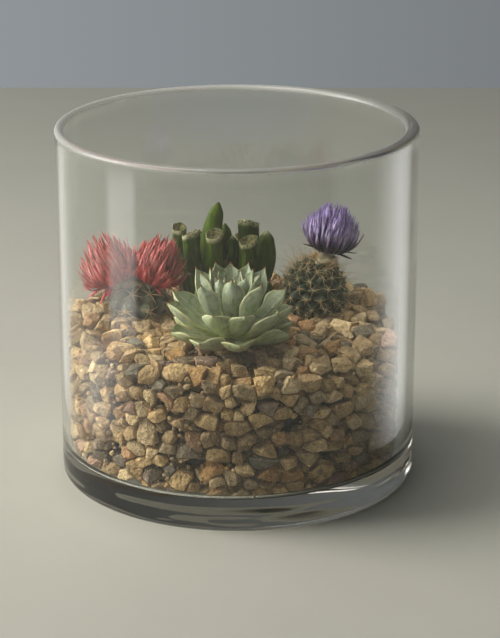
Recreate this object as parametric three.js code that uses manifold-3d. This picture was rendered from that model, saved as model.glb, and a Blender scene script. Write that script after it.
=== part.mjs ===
// A planted glass cylinder: crushed stone, four small succulents in their root balls, and three dried
// everlasting flower heads glued on top of two of them. Millimetres, +Z up. The origin is the middle of
// the jar's underside, +X is right and -Y is the front.
import * as THREE from 'three';
import { mergeVertices } from 'three/addons/utils/BufferGeometryUtils.js';
import Module from 'manifold-3d';

const wasm = await Module();
wasm.setup();

// ---------------------------------------------------------------- driving dimensions

const GAP = 0.3; // clearance where two pieces touch

const JAR = {
  radius: 75,
  height: 150,
  wall: 4.85,
  boreShift: -1.25, // the bore sits to the left, so the wall is 3.6 thick there and 6.1 at the right
  floor: 12.8,
  heel: 4,
  fillet: 4,
  lip: 1.4,
  segments: 56,
};
const BORE_RADIUS = JAR.radius - JAR.wall;
const ABOVE_ALL = 120; // higher than anything planted
const SPINE_RADIUS = 0.3;
const BRACT_THICKNESS = 0.8;
const PLUG_SIDES = 14;

const STONE = {
  width: 10.8, // along the wall
  rise: 7.6, // one course of stones
  topPitch: 9.8,
  groove: 2.2, // depth of the gaps between the stones
  crown: 1.2, // how far the stones of the surface stand over its general height
  level: 65.5, // general height of the surface
};
// Where the stones are heaped against the wall, or lie lower in front: centre, spread and height.
const HEAPS = [
  { x: -66, y: 12, spread: 20, rise: 6.5 },
  { x: 60, y: 22, spread: 17, rise: 8 },
  { x: 0, y: 62, spread: 30, rise: 4 },
  { x: 72, y: -6, spread: 20, rise: 2.5 },
  { x: -6, y: -74, spread: 20, rise: -2.6 },
];

const ROSETTE = { x: -2, y: -33, foot: 66 };
// The rosette's leaves in six whorls from the lowest up: how far the tips reach from the middle and how
// high above the foot they end, where the leaves spring from the stem, the leaves' width and thickness,
// and the direction of each leaf in degrees (0 = right, 270 = front).
const WHORLS = [
  { reach: 26, rise: 8.5, spring: 2.2, width: 13.5, thick: 2.6, turns: [10, 58, 104, 156, 203, 243, 279, 334] },
  { reach: 26, rise: 20, spring: 4, width: 12, thick: 2.6, turns: [26, 84, 120, 154, 194, 316, 340] },
  { reach: 20, rise: 19, spring: 5, width: 11.5, thick: 2.4, turns: [237, 290] },
  { reach: 17.5, rise: 30, spring: 7, width: 12, thick: 2.4, turns: [33, 92, 145, 230, 309] },
  { reach: 12.5, rise: 32, spring: 9, width: 10, thick: 2.2, turns: [52, 120, 192, 272, 342] },
  { reach: 7.5, rise: 30.5, spring: 11, width: 6, thick: 1.8, turns: [85, 170, 295] },
];

const JADE = { x: -4, y: 22, foot: 66 };
// The tube-leaved jade plant. Each leaf: its tip from the plant's foot, its radius at the rim and how far
// down its stalk joins the stem. Most end in a shallow cup, a horn in a point and a paddle in a blunt one.
const JADE_LEAVES = [
  { tip: [-20.5, 5, 32.2], rim: 3.1, length: 27 },
  { tip: [-15, -3.5, 32], rim: 3.7, length: 28 },
  { tip: [-3.2, 2.5, 44.3], rim: 4.6, length: 38, end: 'horn', bow: -7.5 },
  { tip: [-5.2, -5.5, 32.2], rim: 3.8, length: 28 },
  { tip: [-0.6, 9, 33], rim: 3.8, length: 26, end: 'horn' },
  { tip: [2.6, 1.5, 30], rim: 3.6, length: 25, end: 'paddle' },
  { tip: [9.8, 4.5, 34.6], rim: 4.6, length: 30 },
  { tip: [9.4, -5.5, 29.4], rim: 3.9, length: 26 },
  { tip: [17.4, 0.5, 32.4], rim: 4.7, length: 29, end: 'paddle' },
  { tip: [-16.2, -9, 16.5], rim: 3.6, length: 13, end: 'paddle' },
  { tip: [17, -15, 15], rim: 3.4, length: 13, end: 'paddle' },
  { tip: [-11, 14, 27], rim: 3.3, length: 24 },
  { tip: [7, 15, 26], rim: 3.4, length: 23 },
  { tip: [16, 11, 22], rim: 3.2, length: 18, end: 'paddle' },
  { tip: [-19, 14, 18], rim: 3.2, length: 15, end: 'paddle' },
  { tip: [0, 19, 18], rim: 3.3, length: 14 },
];

const PINCUSHION = {
  x: 33.8,
  y: 12,
  foot: 62.5,
  height: 27.2,
  radius: 14.9, // over the tubercles
  perRow: 14,
  rows: 9,
  tubercle: 2.4,
  spine: 7.5,
};

const CHIN = {
  x: -41.8,
  y: 10,
  foot: 62.5,
  height: 18.5,
  radius: 14.2, // over the ribs
  ribs: 9,
  rows: 8,
  groove: 2.4,
  spine: 9,
};

// The flower heads: the foot that sits on the glue, the way the head leans, and its size.
const HEADS = {
  red_left: { foot: [-51, 8.5, 79.5], lean: [-0.42, 0, 1], height: 21.5, radius: 13, rows: 5, perRow: 13,
    width: 2.6, opening: 74, top: 16, seed: 11 },
  red_right: { foot: [-36, 8.5, 79.5], lean: [0.3, -0.02, 1], height: 21, radius: 11, rows: 5, perRow: 12,
    width: 2.5, opening: 62, top: 10, seed: 23 },
  purple: { foot: [39.3, 12, 92], lean: [0.18, 0, 1], height: 20.4, radius: 11.6, rows: 5, perRow: 14,
    width: 2, opening: 58, top: 6, seed: 37 },
};

// The dabs of glue that hold the heads: a flattened lump over the crown of the cactus.
const GLUE = {
  red: { on: CHIN, centre: [-43.6, 9.5, 79], size: [9.6, 5.2, 3.3] },
  purple: { on: PINCUSHION, centre: [38.6, 12, 88.6], size: [5.8, 5, 3.1] },
};

// The four root balls: cut from nursery plugs, wider at the top, each with a hole for stem or tap root.
const ROOT_BALLS = {
  rosette: { plant: ROSETTE, top: 64.8, radius: 13.5, depth: 38, hole: 3.4, holeDepth: 12 },
  jade: { plant: JADE, top: 65.6, radius: 16, depth: 40, hole: 5, holeDepth: 12 },
  pincushion: { plant: PINCUSHION, top: 62.2, radius: 11, depth: 34, hole: 3, holeDepth: 9 },
  chin: { plant: CHIN, top: 62.2, radius: 11, depth: 34, hole: 3, holeDepth: 9 },
};

// ---------------------------------------------------------------- small tools

const radians = THREE.MathUtils.degToRad;
const vec = (x, y, z) => new THREE.Vector3(x, y, z);
const polar = (radius, angle, z) => vec(radius * Math.cos(angle), radius * Math.sin(angle), z);
const mix = THREE.MathUtils.lerp;

// A repeatable source of numbers from 0 to 1.
function seeded(seed) {
  let state = seed >>> 0;
  return () => {
    state = (state + 0x6d2b79f5) >>> 0;
    let t = Math.imul(state ^ (state >>> 15), 1 | state);
    t = (t + Math.imul(t ^ (t >>> 7), 61 | t)) ^ t;
    return ((t ^ (t >>> 14)) >>> 0) / 4294967296;
  };
}

// A closed three.js geometry as a solid, turned right side out.
function solidOf(geometry) {
  const bare = geometry.clone();
  bare.deleteAttribute('normal');
  bare.deleteAttribute('uv');
  const merged = mergeVertices(bare, 1e-4);
  const corners = [];
  for (let i = 0; i < merged.index.count; i += 3) {
    const [a, b, c] = [0, 1, 2].map((k) => merged.index.getX(i + k));
    if (a !== b && b !== c && a !== c) corners.push(a, b, c);
  }
  const make = (triangles) => new wasm.Manifold(new wasm.Mesh({
    numProp: 3,
    vertProperties: new Float32Array(merged.attributes.position.array),
    triVerts: new Uint32Array(triangles),
  }));
  const solid = make(corners);
  return solid.volume() > 0 ? solid : make(corners.toReversed());
}

// Joins solids two by two, which keeps each join small.
function joined(solids) {
  let row = solids;
  while (row.length > 1) {
    const next = [];
    for (let i = 0; i < row.length; i += 2) {
      next.push(i + 1 < row.length ? row[i].add(row[i + 1]) : row[i]);
    }
    row = next;
  }
  return row[0];
}

// The largest body of a solid: hollows that fusing sealed are filled and loose scraps are dropped.
function wholeBody(solid) {
  return solid.decompose().reduce((best, body) => (body.volume() > best.volume() ? body : best));
}

function geometryOf(solid) {
  const mesh = solid.getMesh();
  const geometry = new THREE.BufferGeometry();
  const points = new Float32Array(mesh.numVert * 3);
  for (let i = 0; i < mesh.numVert; i++) {
    const start = i * mesh.numProp;
    points.set(mesh.vertProperties.subarray(start, start + 3), i * 3);
  }
  geometry.setAttribute('position', new THREE.BufferAttribute(points, 3));
  geometry.setIndex(new THREE.BufferAttribute(mesh.triVerts, 1));
  geometry.computeVertexNormals();
  return geometry;
}

function geometryFrom(points, triangles) {
  const geometry = new THREE.BufferGeometry();
  geometry.setFromPoints(points);
  geometry.setIndex(triangles);
  return geometry;
}

// The closed skin through rings of points, with a single point at each end.
function skin(first, rings, last) {
  const sides = rings[0].length;
  const points = [first, ...rings.flat(), last];
  const end = points.length - 1;
  const lastRing = 1 + (rings.length - 1) * sides;
  const triangles = [];
  for (let j = 0; j < sides; j++) {
    const next = (j + 1) % sides;
    triangles.push(0, 1 + next, 1 + j, end, lastRing + j, lastRing + next);
    for (let i = 0; i < rings.length - 1; i++) {
      const low = 1 + i * sides;
      const high = low + sides;
      triangles.push(low + j, low + next, high + next, low + j, high + next, high + j);
    }
  }
  return solidOf(geometryFrom(points, triangles));
}

// A solid of revolution about +Z from a profile of [radius, height] that starts and ends on the axis.
function turned(profile, segments) {
  const points = profile.map(([r, z]) => new THREE.Vector2(r, z));
  return solidOf(new THREE.LatheGeometry(points, segments).rotateX(Math.PI / 2));
}

// Points on an arc about [r, z], between two angles in degrees.
function arc(r, z, radius, from, to, steps) {
  return Array.from({ length: steps + 1 }, (_, i) => {
    const angle = radians(mix(from, to, i / steps));
    return [r + radius * Math.cos(angle), z + radius * Math.sin(angle)];
  });
}

// A straight three-sided needle.
function needle(start, tip, radius) {
  const along = tip.clone().sub(start).normalize();
  const side = vec(-along.y, along.x, 0.01).normalize();
  const other = along.clone().cross(side);
  const ring = [0, 120, 240].map((degrees) => start.clone()
    .addScaledVector(side, radius * Math.cos(radians(degrees)))
    .addScaledVector(other, radius * Math.sin(radians(degrees))));
  return solidOf(geometryFrom([...ring, tip], [0, 2, 1, 0, 1, 3, 1, 2, 3, 2, 0, 3]));
}

const pieces = new THREE.Group();

function place(name, solid, material, position = [0, 0, 0]) {
  const mesh = new THREE.Mesh(geometryOf(wholeBody(solid)), material);
  mesh.name = name;
  mesh.position.set(...position);
  pieces.add(mesh);
  return mesh;
}

const matt = (color, roughness = 0.8) =>
  new THREE.MeshStandardMaterial({ color, roughness, metalness: 0, flatShading: true });

// ---------------------------------------------------------------- glass jar

function jarSolid() {
  const { radius, height, heel, lip, floor, fillet, boreShift, segments } = JAR;
  const outside = turned([
    [0, 0],
    ...arc(radius - heel, heel, heel, -90, 0, 3),
    ...arc(radius - lip, height - lip, lip, 0, 90, 2),
    [0, height],
  ], segments);
  const bore = turned([
    [0, floor],
    ...arc(BORE_RADIUS - fillet, floor + fillet, fillet, -90, 0, 3),
    ...arc(BORE_RADIUS + lip, height - lip, lip, 180, 90, 2),
    [BORE_RADIUS + lip, height + 2],
    [0, height + 2],
  ], segments);
  return outside.subtract(bore.translate(boreShift, 0, 0));
}

// ---------------------------------------------------------------- gravel

// Courses of stones as in a wall, each a low pyramid between sunk joints. put(u, v, depth) places a
// point, u counting stones along a course and v counting courses; depth is 0 on a stone, 1 in a joint.
function stoneCourses({ across, courses, round, seed, put }) {
  const random = seeded(seed);
  const half = 2 * across;
  const columns = round ? half : half + 1;
  const points = [];
  const triangles = [];
  for (let row = 0; row <= courses; row++) {
    for (let h = 0; h < columns; h++) {
      const edgeU = !round && (h === 0 || h === half);
      const edgeV = row === 0 || row === courses;
      const du = edgeU ? 0 : (random() - 0.5) * 0.42;
      const dv = edgeV ? 0 : (random() - 0.5) * 0.85;
      points.push(put(h / 2 + du, row + dv, 1));
    }
  }
  const joint = (row, h) => row * columns + (round ? (h + half) % half : h);
  for (let row = 0; row < courses; row++) {
    const shift = row % 2;
    for (let h = -shift; h < half; h += 2) {
      if (round && h < 0) continue;
      const from = round ? h + shift : Math.max(h, 0);
      const to = round ? from + 2 : Math.min(h + 2, half);
      const u = (from + to) / 2 / 2 + (random() - 0.5) * 0.5;
      const v = row + 0.5 + (random() - 0.5) * 0.4;
      const apex = points.push(put(u, v, random() ** 2 * 0.6)) - 1;
      for (let k = from; k < to; k++) {
        triangles.push(apex, joint(row, k), joint(row, k + 1));
        triangles.push(apex, joint(row + 1, k + 1), joint(row + 1, k));
      }
      triangles.push(apex, joint(row, to), joint(row + 1, to));
      triangles.push(apex, joint(row + 1, from), joint(row, from));
    }
  }
  return { points, triangles, columns, joint };
}

function surfaceHeight(x, y) {
  return HEAPS.reduce((sum, heap) => {
    const away = Math.hypot(x - heap.x, y - heap.y) / heap.spread;
    return sum + heap.rise * Math.exp(-away * away);
  }, STONE.level);
}

// The side of the bed as it shows through the glass, far taller than the bed and closed with flat ends.
function stoneSide() {
  const outer = BORE_RADIUS - GAP;
  const bottom = JAR.floor + GAP;
  const across = Math.round((2 * Math.PI * outer) / STONE.width);
  const courses = 9;
  const put = (u, v, depth) => {
    const height = GAP + v * STONE.rise;
    const toFillet = Math.max(JAR.fillet - height, 0);
    const inset = JAR.fillet - Math.sqrt(JAR.fillet ** 2 - toFillet ** 2);
    return polar(outer - inset - depth * STONE.groove, (u / across) * 2 * Math.PI, JAR.floor + height);
  };
  const side = stoneCourses({ across, courses, round: true, seed: 5, put });
  const { points, triangles, columns, joint } = side;
  const low = points.push(vec(0, 0, bottom)) - 1;
  const high = points.push(vec(0, 0, bottom + courses * STONE.rise)) - 1;
  for (let h = 0; h < columns; h++) {
    triangles.push(low, joint(0, h + 1), joint(0, h));
    triangles.push(high, joint(courses, h), joint(courses, h + 1));
  }
  return solidOf(geometryFrom(points, triangles));
}

// A block whose upper face is the heaped surface.
function stoneTop() {
  const reach = JAR.radius;
  const across = Math.round((2 * reach) / STONE.topPitch);
  const put = (u, v, depth) => {
    const x = mix(-reach, reach, u / across);
    const y = mix(-reach, reach, v / across);
    return vec(x, y, surfaceHeight(x, y) + STONE.crown - depth * (STONE.crown + STONE.groove));
  };
  const bed = stoneCourses({ across, courses: across, round: false, seed: 9, put });
  const { points, triangles, columns, joint } = bed;
  const count = points.length;
  points.push(...points.map((p) => vec(p.x, p.y, 5)));
  const under = triangles.map((corner) => corner + count).toReversed();
  const wall = (a, b) => triangles.push(a, a + count, b + count, a, b + count, b);
  for (let k = 0; k < columns - 1; k++) {
    wall(joint(0, k), joint(0, k + 1));
    wall(joint(across, k + 1), joint(across, k));
  }
  for (let row = 0; row < across; row++) {
    wall(joint(row + 1, 0), joint(row, 0));
    wall(joint(row, columns - 1), joint(row + 1, columns - 1));
  }
  return solidOf(geometryFrom(points, [...triangles, ...under]));
}

function gravelSolid() {
  const bed = stoneSide().translate(JAR.boreShift, 0, 0).intersect(stoneTop());
  const pockets = [
    ...Object.values(ROOT_BALLS).map((ball) => turned(rootBallProfile(ball, GAP, ABOVE_ALL), PLUG_SIDES)
      .translate(ball.plant.x, ball.plant.y, 0)),
    cactusEnvelope(PINCUSHION, GAP),
    cactusEnvelope(CHIN, GAP),
  ];
  return pockets.reduce((rest, pocket) => rest.subtract(pocket), bed);
}

// ---------------------------------------------------------------- root balls

// A plug's outline grown by a clearance, up to its own top or, for its pocket, up to a greater height.
function rootBallProfile({ top, radius, depth }, clearance, upTo = top) {
  const under = radius * 0.78 + clearance;
  const bottom = top - depth - clearance;
  const outline = [[0, bottom], [under - 1.5, bottom], [under, bottom + 1.5], [radius + clearance, top]];
  const open = upTo > top ? [[radius + clearance, upTo]] : [];
  return [...outline, ...open, [0, upTo]];
}

function rootBallSolid(ball) {
  const bottom = ball.top - ball.holeDepth;
  const hole = turned([[0, bottom], [ball.hole, bottom], [ball.hole, ABOVE_ALL], [0, ABOVE_ALL]], 12);
  return turned(rootBallProfile(ball, 0), PLUG_SIDES).subtract(hole);
}

// ---------------------------------------------------------------- rosette

// One leaf that springs from the stem, bends upwards and ends in a short point: narrow at its foot,
// broadest past its middle, hollowed above and keeled below.
function rosetteLeaf({ turn, reach, rise, spring, width, thick }) {
  const angle = radians(turn);
  const start = new THREE.Vector2(1, spring);
  const bend = new THREE.Vector2(reach * 0.66, mix(spring, rise, 0.3));
  const curve = new THREE.QuadraticBezierCurve(start, bend, new THREE.Vector2(reach, rise));
  const outward = polar(1, angle, 0);
  const across = vec(0, 0, 1).cross(outward);
  const stations = [[0, 0.4, 0.9], [0.34, 0.66, 1], [0.64, 1, 1], [0.84, 0.9, 0.8], [0.95, 0.4, 0.45]];
  const rings = stations.map(([s, wide, deep]) => {
    const at = curve.getPoint(s);
    const along = curve.getTangent(s);
    const centre = outward.clone().multiplyScalar(at.x).setZ(at.y);
    const upward = outward.clone().multiplyScalar(-along.y).setZ(along.x);
    return Array.from({ length: 6 }, (_, k) => {
      const theta = (k * Math.PI) / 3;
      const height = Math.sin(theta) * thick * deep * (Math.sin(theta) > 0 ? 0.2 : 0.75)
        + Math.cos(theta) ** 2 * wide * width * 0.1;
      return centre.clone()
        .addScaledVector(across, (Math.cos(theta) * wide * width) / 2)
        .addScaledVector(upward, height);
    });
  });
  const first = outward.clone().multiplyScalar(0.4).setZ(spring);
  return skin(first, rings, outward.clone().multiplyScalar(reach).setZ(rise));
}

function rosetteSolid() {
  const leaves = WHORLS.flatMap(({ turns, ...whorl }) => (
    turns.map((turn) => rosetteLeaf({ turn, ...whorl }))));
  const stem = turned([[0, -11], [2.6, -10], [3, 0], [4.2, 4], [3, 16], [0, 20]], 8);
  return joined([stem, ...leaves]);
}

// ---------------------------------------------------------------- jade plant

// The share of its full radius that a leaf has at stations along its curve.
const JADE_OUTLINES = {
  cup: [[0.03, 0.55], [0.25, 0.92], [0.62, 1.06], [1, 1]],
  horn: [[0.03, 0.5], [0.34, 0.84], [0.7, 0.96], [0.9, 0.66]],
  paddle: [[0.03, 0.45], [0.34, 0.82], [0.66, 1], [0.9, 0.84]],
};

// A tubular leaf on its stalk. It leaves the stem low down and soon stands upright.
function jadeLeaf({ tip, rim, length, end = 'cup', bow = 0 }) {
  const top = vec(...tip);
  const foot = Math.max(top.z - length, 1);
  const start = vec(0, 0, foot);
  const knee = vec(top.x + bow, top.y, mix(foot, top.z, 0.18));
  const hip = vec(top.x * 0.6, top.y * 0.6, foot);
  const curve = new THREE.CubicBezierCurve3(start, hip, knee, top);
  if (bow) curve.v1.setX(bow);
  const rings = JADE_OUTLINES[end].map(([s, share]) => {
    const centre = curve.getPoint(s);
    const along = curve.getTangent(s);
    const side = vec(0, 1, 0).cross(along).normalize();
    const other = along.clone().cross(side);
    return Array.from({ length: 8 }, (_, k) => {
      const theta = (k * Math.PI) / 4;
      return centre.clone()
        .addScaledVector(side, share * rim * Math.cos(theta))
        .addScaledVector(other, share * rim * 0.86 * Math.sin(theta));
    });
  });
  const last = end === 'cup' ? top.clone().setZ(top.z - rim * 0.4) : top;
  return skin(start.clone().setZ(foot - 0.5), rings, last);
}

function jadeSolid() {
  const stem = turned([[0, -11], [3.4, -10], [4, 0], [4.4, 8], [3.2, 17], [0, 20]], 10);
  return joined([stem, ...JADE_LEAVES.map(jadeLeaf)]);
}

// ---------------------------------------------------------------- cacti

// A cactus body is an upright ellipsoid, flatter below its widest level and cut off at its foot.
// tilt runs from LOWEST_TILT at the foot through 0 at the widest level to 90 at the crown.
const LOWEST_TILT = -58;
const WAIST = 0.42;

function cactusPoint({ height, radius }, tilt, turn, sunk = 0) {
  const angle = radians(tilt);
  const waist = WAIST * height;
  const tall = tilt > 0 ? height - waist : waist / Math.sin(radians(-LOWEST_TILT));
  const r = radius * Math.cos(angle);
  const point = polar(r, radians(turn), waist + tall * Math.sin(angle));
  const normal = polar(Math.cos(angle) / radius, radians(turn), Math.sin(angle) / tall).normalize();
  return { point: point.addScaledVector(normal, -sunk), normal };
}

// The smooth outer form of a cactus in the jar, grown by a clearance.
function cactusEnvelope(plant, clearance) {
  const grown = { height: plant.height, radius: plant.radius };
  const profile = Array.from({ length: 11 }, (_, i) => {
    const { point, normal } = cactusPoint(grown, mix(LOWEST_TILT, 90, i / 10), 0);
    point.addScaledVector(normal, clearance * 1.25);
    return [Math.max(point.x, 0), point.z + plant.foot];
  });
  const bottom = plant.foot - clearance;
  const neck = [[0, bottom], [profile[0][0] + 0.5, bottom]];
  profile[profile.length - 1][0] = 0;
  return turned([...neck, ...profile], 24).translate(plant.x, plant.y, 0);
}

const tapRoot = () => turned([[0, -8], [1.4, -7.5], [2.5, 0], [2.5, 2], [0, 3]], 8);

// Is a point, given from a plant's foot, clear of the gravel, the flower heads and the glue?
function clearAround(plant, point) {
  const world = point.clone().add(vec(plant.x, plant.y, plant.foot));
  const overGravel = world.z > surfaceHeight(world.x, world.y) + STONE.crown + 1;
  const offHeads = Object.values(HEADS).every((head) => world.distanceTo(headCentre(head)) > head.radius + 2);
  const offGlue = Object.values(GLUE).every((dab) => {
    const away = world.clone().sub(vec(...dab.centre)).divide(vec(...dab.size).addScalar(1));
    return away.length() > 1;
  });
  return overGravel && offHeads && offGlue;
}

// Spines of one areole, each leaning off the body's normal and turned about it.
function areoleSpines(plant, { point, normal }, leans) {
  const side = vec(-normal.y, normal.x, 0).normalize();
  const up = normal.clone().cross(side);
  const between = (from, to, degrees) => from.clone()
    .multiplyScalar(Math.cos(radians(degrees)))
    .addScaledVector(to, Math.sin(radians(degrees)));
  return leans.flatMap(({ lean, turn, length }) => {
    const tip = point.clone().addScaledVector(between(normal, between(side, up, turn), lean), length);
    const start = point.clone().addScaledVector(normal, -0.9);
    const open = clearAround(plant, tip) && clearAround(plant, point);
    return open ? [needle(start, tip, SPINE_RADIUS)] : [];
  });
}

// A pincushion cactus: rows of four-sided tubercles set between those of the next row, each with spines.
function pincushionSolid() {
  const { perRow, rows, tubercle, spine } = PINCUSHION;
  const step = 360 / perRow;
  const tiltOf = (row) => mix(LOWEST_TILT, 84, (row + 1) / rows);
  const turnOf = (row, place) => (place + (row % 2) / 2) * step + row * 0.09 * step;
  const points = [];
  const triangles = [];
  const spines = [];
  const random = seeded(3);
  // The sunk points between the tubercles. Those of row -1 are the foot, under the first tubercles.
  const valleys = [];
  for (let row = -1; row < rows; row++) {
    valleys.push(Array.from({ length: perRow }, (_, place) => {
      const { point } = cactusPoint(PINCUSHION, tiltOf(row), turnOf(row, place + 0.5), tubercle);
      return points.push(point) - 1;
    }));
  }
  const valley = (row, place) => valleys[row + 1][(place + 2 * perRow) % perRow];
  const crown = points.push(cactusPoint(PINCUSHION, 90, 0, tubercle).point) - 1;
  const foot = points.push(vec(0, 0, 0)) - 1;
  for (let row = 0; row < rows; row++) {
    const shift = Math.abs(row % 2);
    for (let place = 0; place < perRow; place++) {
      const areole = cactusPoint(PINCUSHION, tiltOf(row), turnOf(row, place));
      const top = points.push(areole.point) - 1;
      const left = valley(row, place - 1);
      const right = valley(row, place);
      const below = valley(row - 1, place - 1 + shift);
      const above = row + 1 < rows ? valley(row + 1, place - 1 + shift) : crown;
      triangles.push(top, left, below, top, below, right, top, right, above, top, above, left);
      if (row > 1) {
        const first = random() * 360;
        spines.push(...areoleSpines(PINCUSHION, areole, [
          { lean: 22, turn: first, length: spine * 0.75 },
          { lean: 66, turn: first + 137.5, length: spine },
        ]));
      }
    }
  }
  for (let place = 0; place < perRow; place++) {
    triangles.push(valley(0, place - 1), valley(-1, place - 2), valley(-1, place - 1));
    triangles.push(foot, valley(-1, place), valley(-1, place - 1));
  }
  const body = solidOf(geometryFrom(points, triangles));
  return joined([body, tapRoot(), ...spines]);
}

// A chin cactus: broad ribs swelling into a chin under each areole, with few long spines.
function chinSolid() {
  const { ribs, rows, groove, radius, spine } = CHIN;
  const columns = 4 * ribs;
  const depthAcross = [0, 0.3, 1, 0.3];
  const spines = [];
  const rings = Array.from({ length: rows }, (_, row) => {
    const tilt = mix(LOWEST_TILT, 78, row / (rows - 1));
    const isChin = row % 2 === 1;
    return Array.from({ length: columns }, (__, column) => {
      const turn = (column * 360) / columns + (row * 4);
      const across = depthAcross[column % 4];
      const sunk = groove * across + (isChin ? 0 : 0.9 * (1 - across));
      const at = cactusPoint(CHIN, tilt, turn, sunk);
      if (across === 0 && isChin) {
        spines.push(...areoleSpines(CHIN, at, [-150, -90, -30, 40, 140].map((way) => (
          { lean: 62, turn: way, length: spine * (way === -90 ? 0.85 : 1) }
        ))));
      }
      return at.point;
    });
  });
  const body = skin(vec(0, 0, 0), rings, cactusPoint(CHIN, 90, 0, radius * 0.08).point);
  return joined([body, tapRoot(), ...spines]);
}

// ---------------------------------------------------------------- glue and flower heads

function dabEnvelope({ centre, size }, clearance) {
  const ball = new THREE.SphereGeometry(1, 10, 6);
  ball.scale(...size.map((s) => s + clearance));
  return solidOf(ball).translate(...centre);
}

function glueSolid(dab) {
  return dabEnvelope(dab, 0).subtract(cactusEnvelope(dab.on, GAP));
}

function headFrame({ foot, lean }) {
  const axis = vec(...lean).normalize();
  const side = vec(0, 1, 0).cross(axis).normalize();
  return { foot: vec(...foot), axis, side, front: axis.clone().cross(side) };
}

function headCentre(head) {
  const { foot, axis } = headFrame(head);
  return foot.clone().addScaledVector(axis, head.height * 0.5);
}

// A dried head: a pear-shaped heart with rows of narrow bracts that stand out of it, the lowest row
// spread wide and the top row closing over the middle.
function headSolid({ height, radius, rows, perRow, width, opening, top, seed, ...head }, limit) {
  const { foot, axis, side, front } = headFrame(head);
  const random = seeded(seed);
  const at = (r, angle, z) => foot.clone()
    .addScaledVector(axis, z)
    .addScaledVector(side, r * Math.cos(angle))
    .addScaledVector(front, r * Math.sin(angle));
  const heartWidth = [[0.02, 0.26], [0.18, 0.56], [0.4, 0.68], [0.6, 0.52], [0.74, 0.26]];
  const rings = heartWidth.map(([z, r]) => Array.from({ length: 8 }, (_, k) => (
    at(r * radius, (k * Math.PI) / 4, z * height))));
  const heart = skin(at(0, 0, 0), rings, at(0, 0, 0.8 * height));
  const bracts = [];
  for (let row = 0; row < rows; row++) {
    const share = row / (rows - 1);
    const count = Math.round(perRow * mix(1, 0.62, share));
    const z = mix(0.12, 0.6, share) * height;
    const r = mix(0.36, 0.3, share) * radius;
    for (let k = 0; k < count; k++) {
      const angle = ((k + (row % 2) / 2 + (random() - 0.5) * 0.4) / count) * 2 * Math.PI;
      const tilt = radians(mix(opening, top, share) + (random() - 0.5) * 14);
      const length = radius * mix(0.86, 1, random()) * mix(0.95, 0.82, share);
      const start = at(r, angle, z);
      const swell = length * 0.5;
      const middle = at(r + swell * Math.sin(tilt + 0.25), angle, z + swell * Math.cos(tilt + 0.25));
      const tip = at(r + length * Math.sin(tilt - 0.1), angle, z + length * Math.cos(tilt - 0.1));
      bracts.push(bract(start, middle, tip, { angle, side, front, width, limit }));
    }
  }
  return joined([heart, ...bracts]);
}

// One bract, bent back to its own side of the limit where a neighbouring head stands.
function bract(start, middle, tip, { angle, side, front, width, limit }) {
  const own = (point) => (limit ? point.setX(limit.keep(point.x)) : point);
  const end = own(tip);
  const waist = own(middle);
  const along = end.clone().sub(start).normalize();
  const across = side.clone().multiplyScalar(-Math.sin(angle)).addScaledVector(front, Math.cos(angle));
  const normal = across.clone().cross(along).normalize();
  const flat = along.clone().cross(normal).normalize();
  const corner = (offset, direction) => waist.clone().addScaledVector(direction, offset);
  const ring = [corner(width / 2, flat), corner(BRACT_THICKNESS / 2, normal),
    corner(-width / 2, flat), corner(-BRACT_THICKNESS / 2, normal)];
  return skin(start, [ring], end);
}

// ---------------------------------------------------------------- the pieces

const DIVIDE = -43.7; // the two red heads meet at this x
const leftOf = (x) => ({ keep: (value) => Math.min(value, x - 1.4) });
const rightOf = (x) => ({ keep: (value) => Math.max(value, x + 1.4) });

place('glass_jar', jarSolid(), matt('#cfd8d4', 0.05));
place('gravel_bed', gravelSolid(), matt('#b09a78'));
for (const [name, ball] of Object.entries(ROOT_BALLS)) {
  place(`root_ball_${name}`, rootBallSolid(ball), matt('#3a2c22'), [ball.plant.x, ball.plant.y, 0]);
}
place('rosette_succulent', rosetteSolid(), matt('#8fa38c'), [ROSETTE.x, ROSETTE.y, ROSETTE.foot]);
place('tube_leaf_jade', jadeSolid(), matt('#4c6b34'), [JADE.x, JADE.y, JADE.foot]);
place('pincushion_cactus', pincushionSolid(), matt('#3c4c34'), [PINCUSHION.x, PINCUSHION.y, PINCUSHION.foot]);
place('chin_cactus', chinSolid(), matt('#5a6a5a'), [CHIN.x, CHIN.y, CHIN.foot]);
place('glue_red', glueSolid(GLUE.red), matt('#d8cdb4', 0.4));
place('glue_purple', glueSolid(GLUE.purple), matt('#d8cdb4', 0.4));

function placeHead(name, head, dab, color, limit) {
  const cleared = headSolid(head, limit)
    .subtract(dabEnvelope(dab, GAP))
    .subtract(cactusEnvelope(dab.on, 2 * GAP));
  place(name, cleared, matt(color));
}
placeHead('everlasting_red_left', HEADS.red_left, GLUE.red, '#b8323c', leftOf(DIVIDE));
placeHead('everlasting_red_right', HEADS.red_right, GLUE.red, '#b8323c', rightOf(DIVIDE));
placeHead('everlasting_purple', HEADS.purple, GLUE.purple, '#5b4a94');

export default pieces;
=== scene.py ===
# %% [markdown]
# # A planted glass cylinder
# The real thing is a plain hand-width glass cylinder filled to less than half with crushed stone. Four
# small succulents stand in it, and three dried everlasting flowers are glued on top of the two cacti.
# The solid model gives every size. This script loads it as a fixed frame and dresses it: each cell
# explains one piece or one finish, and the pieces are surfaces worked out with numpy.

# %% The fixed frame
import itertools
import math

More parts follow.
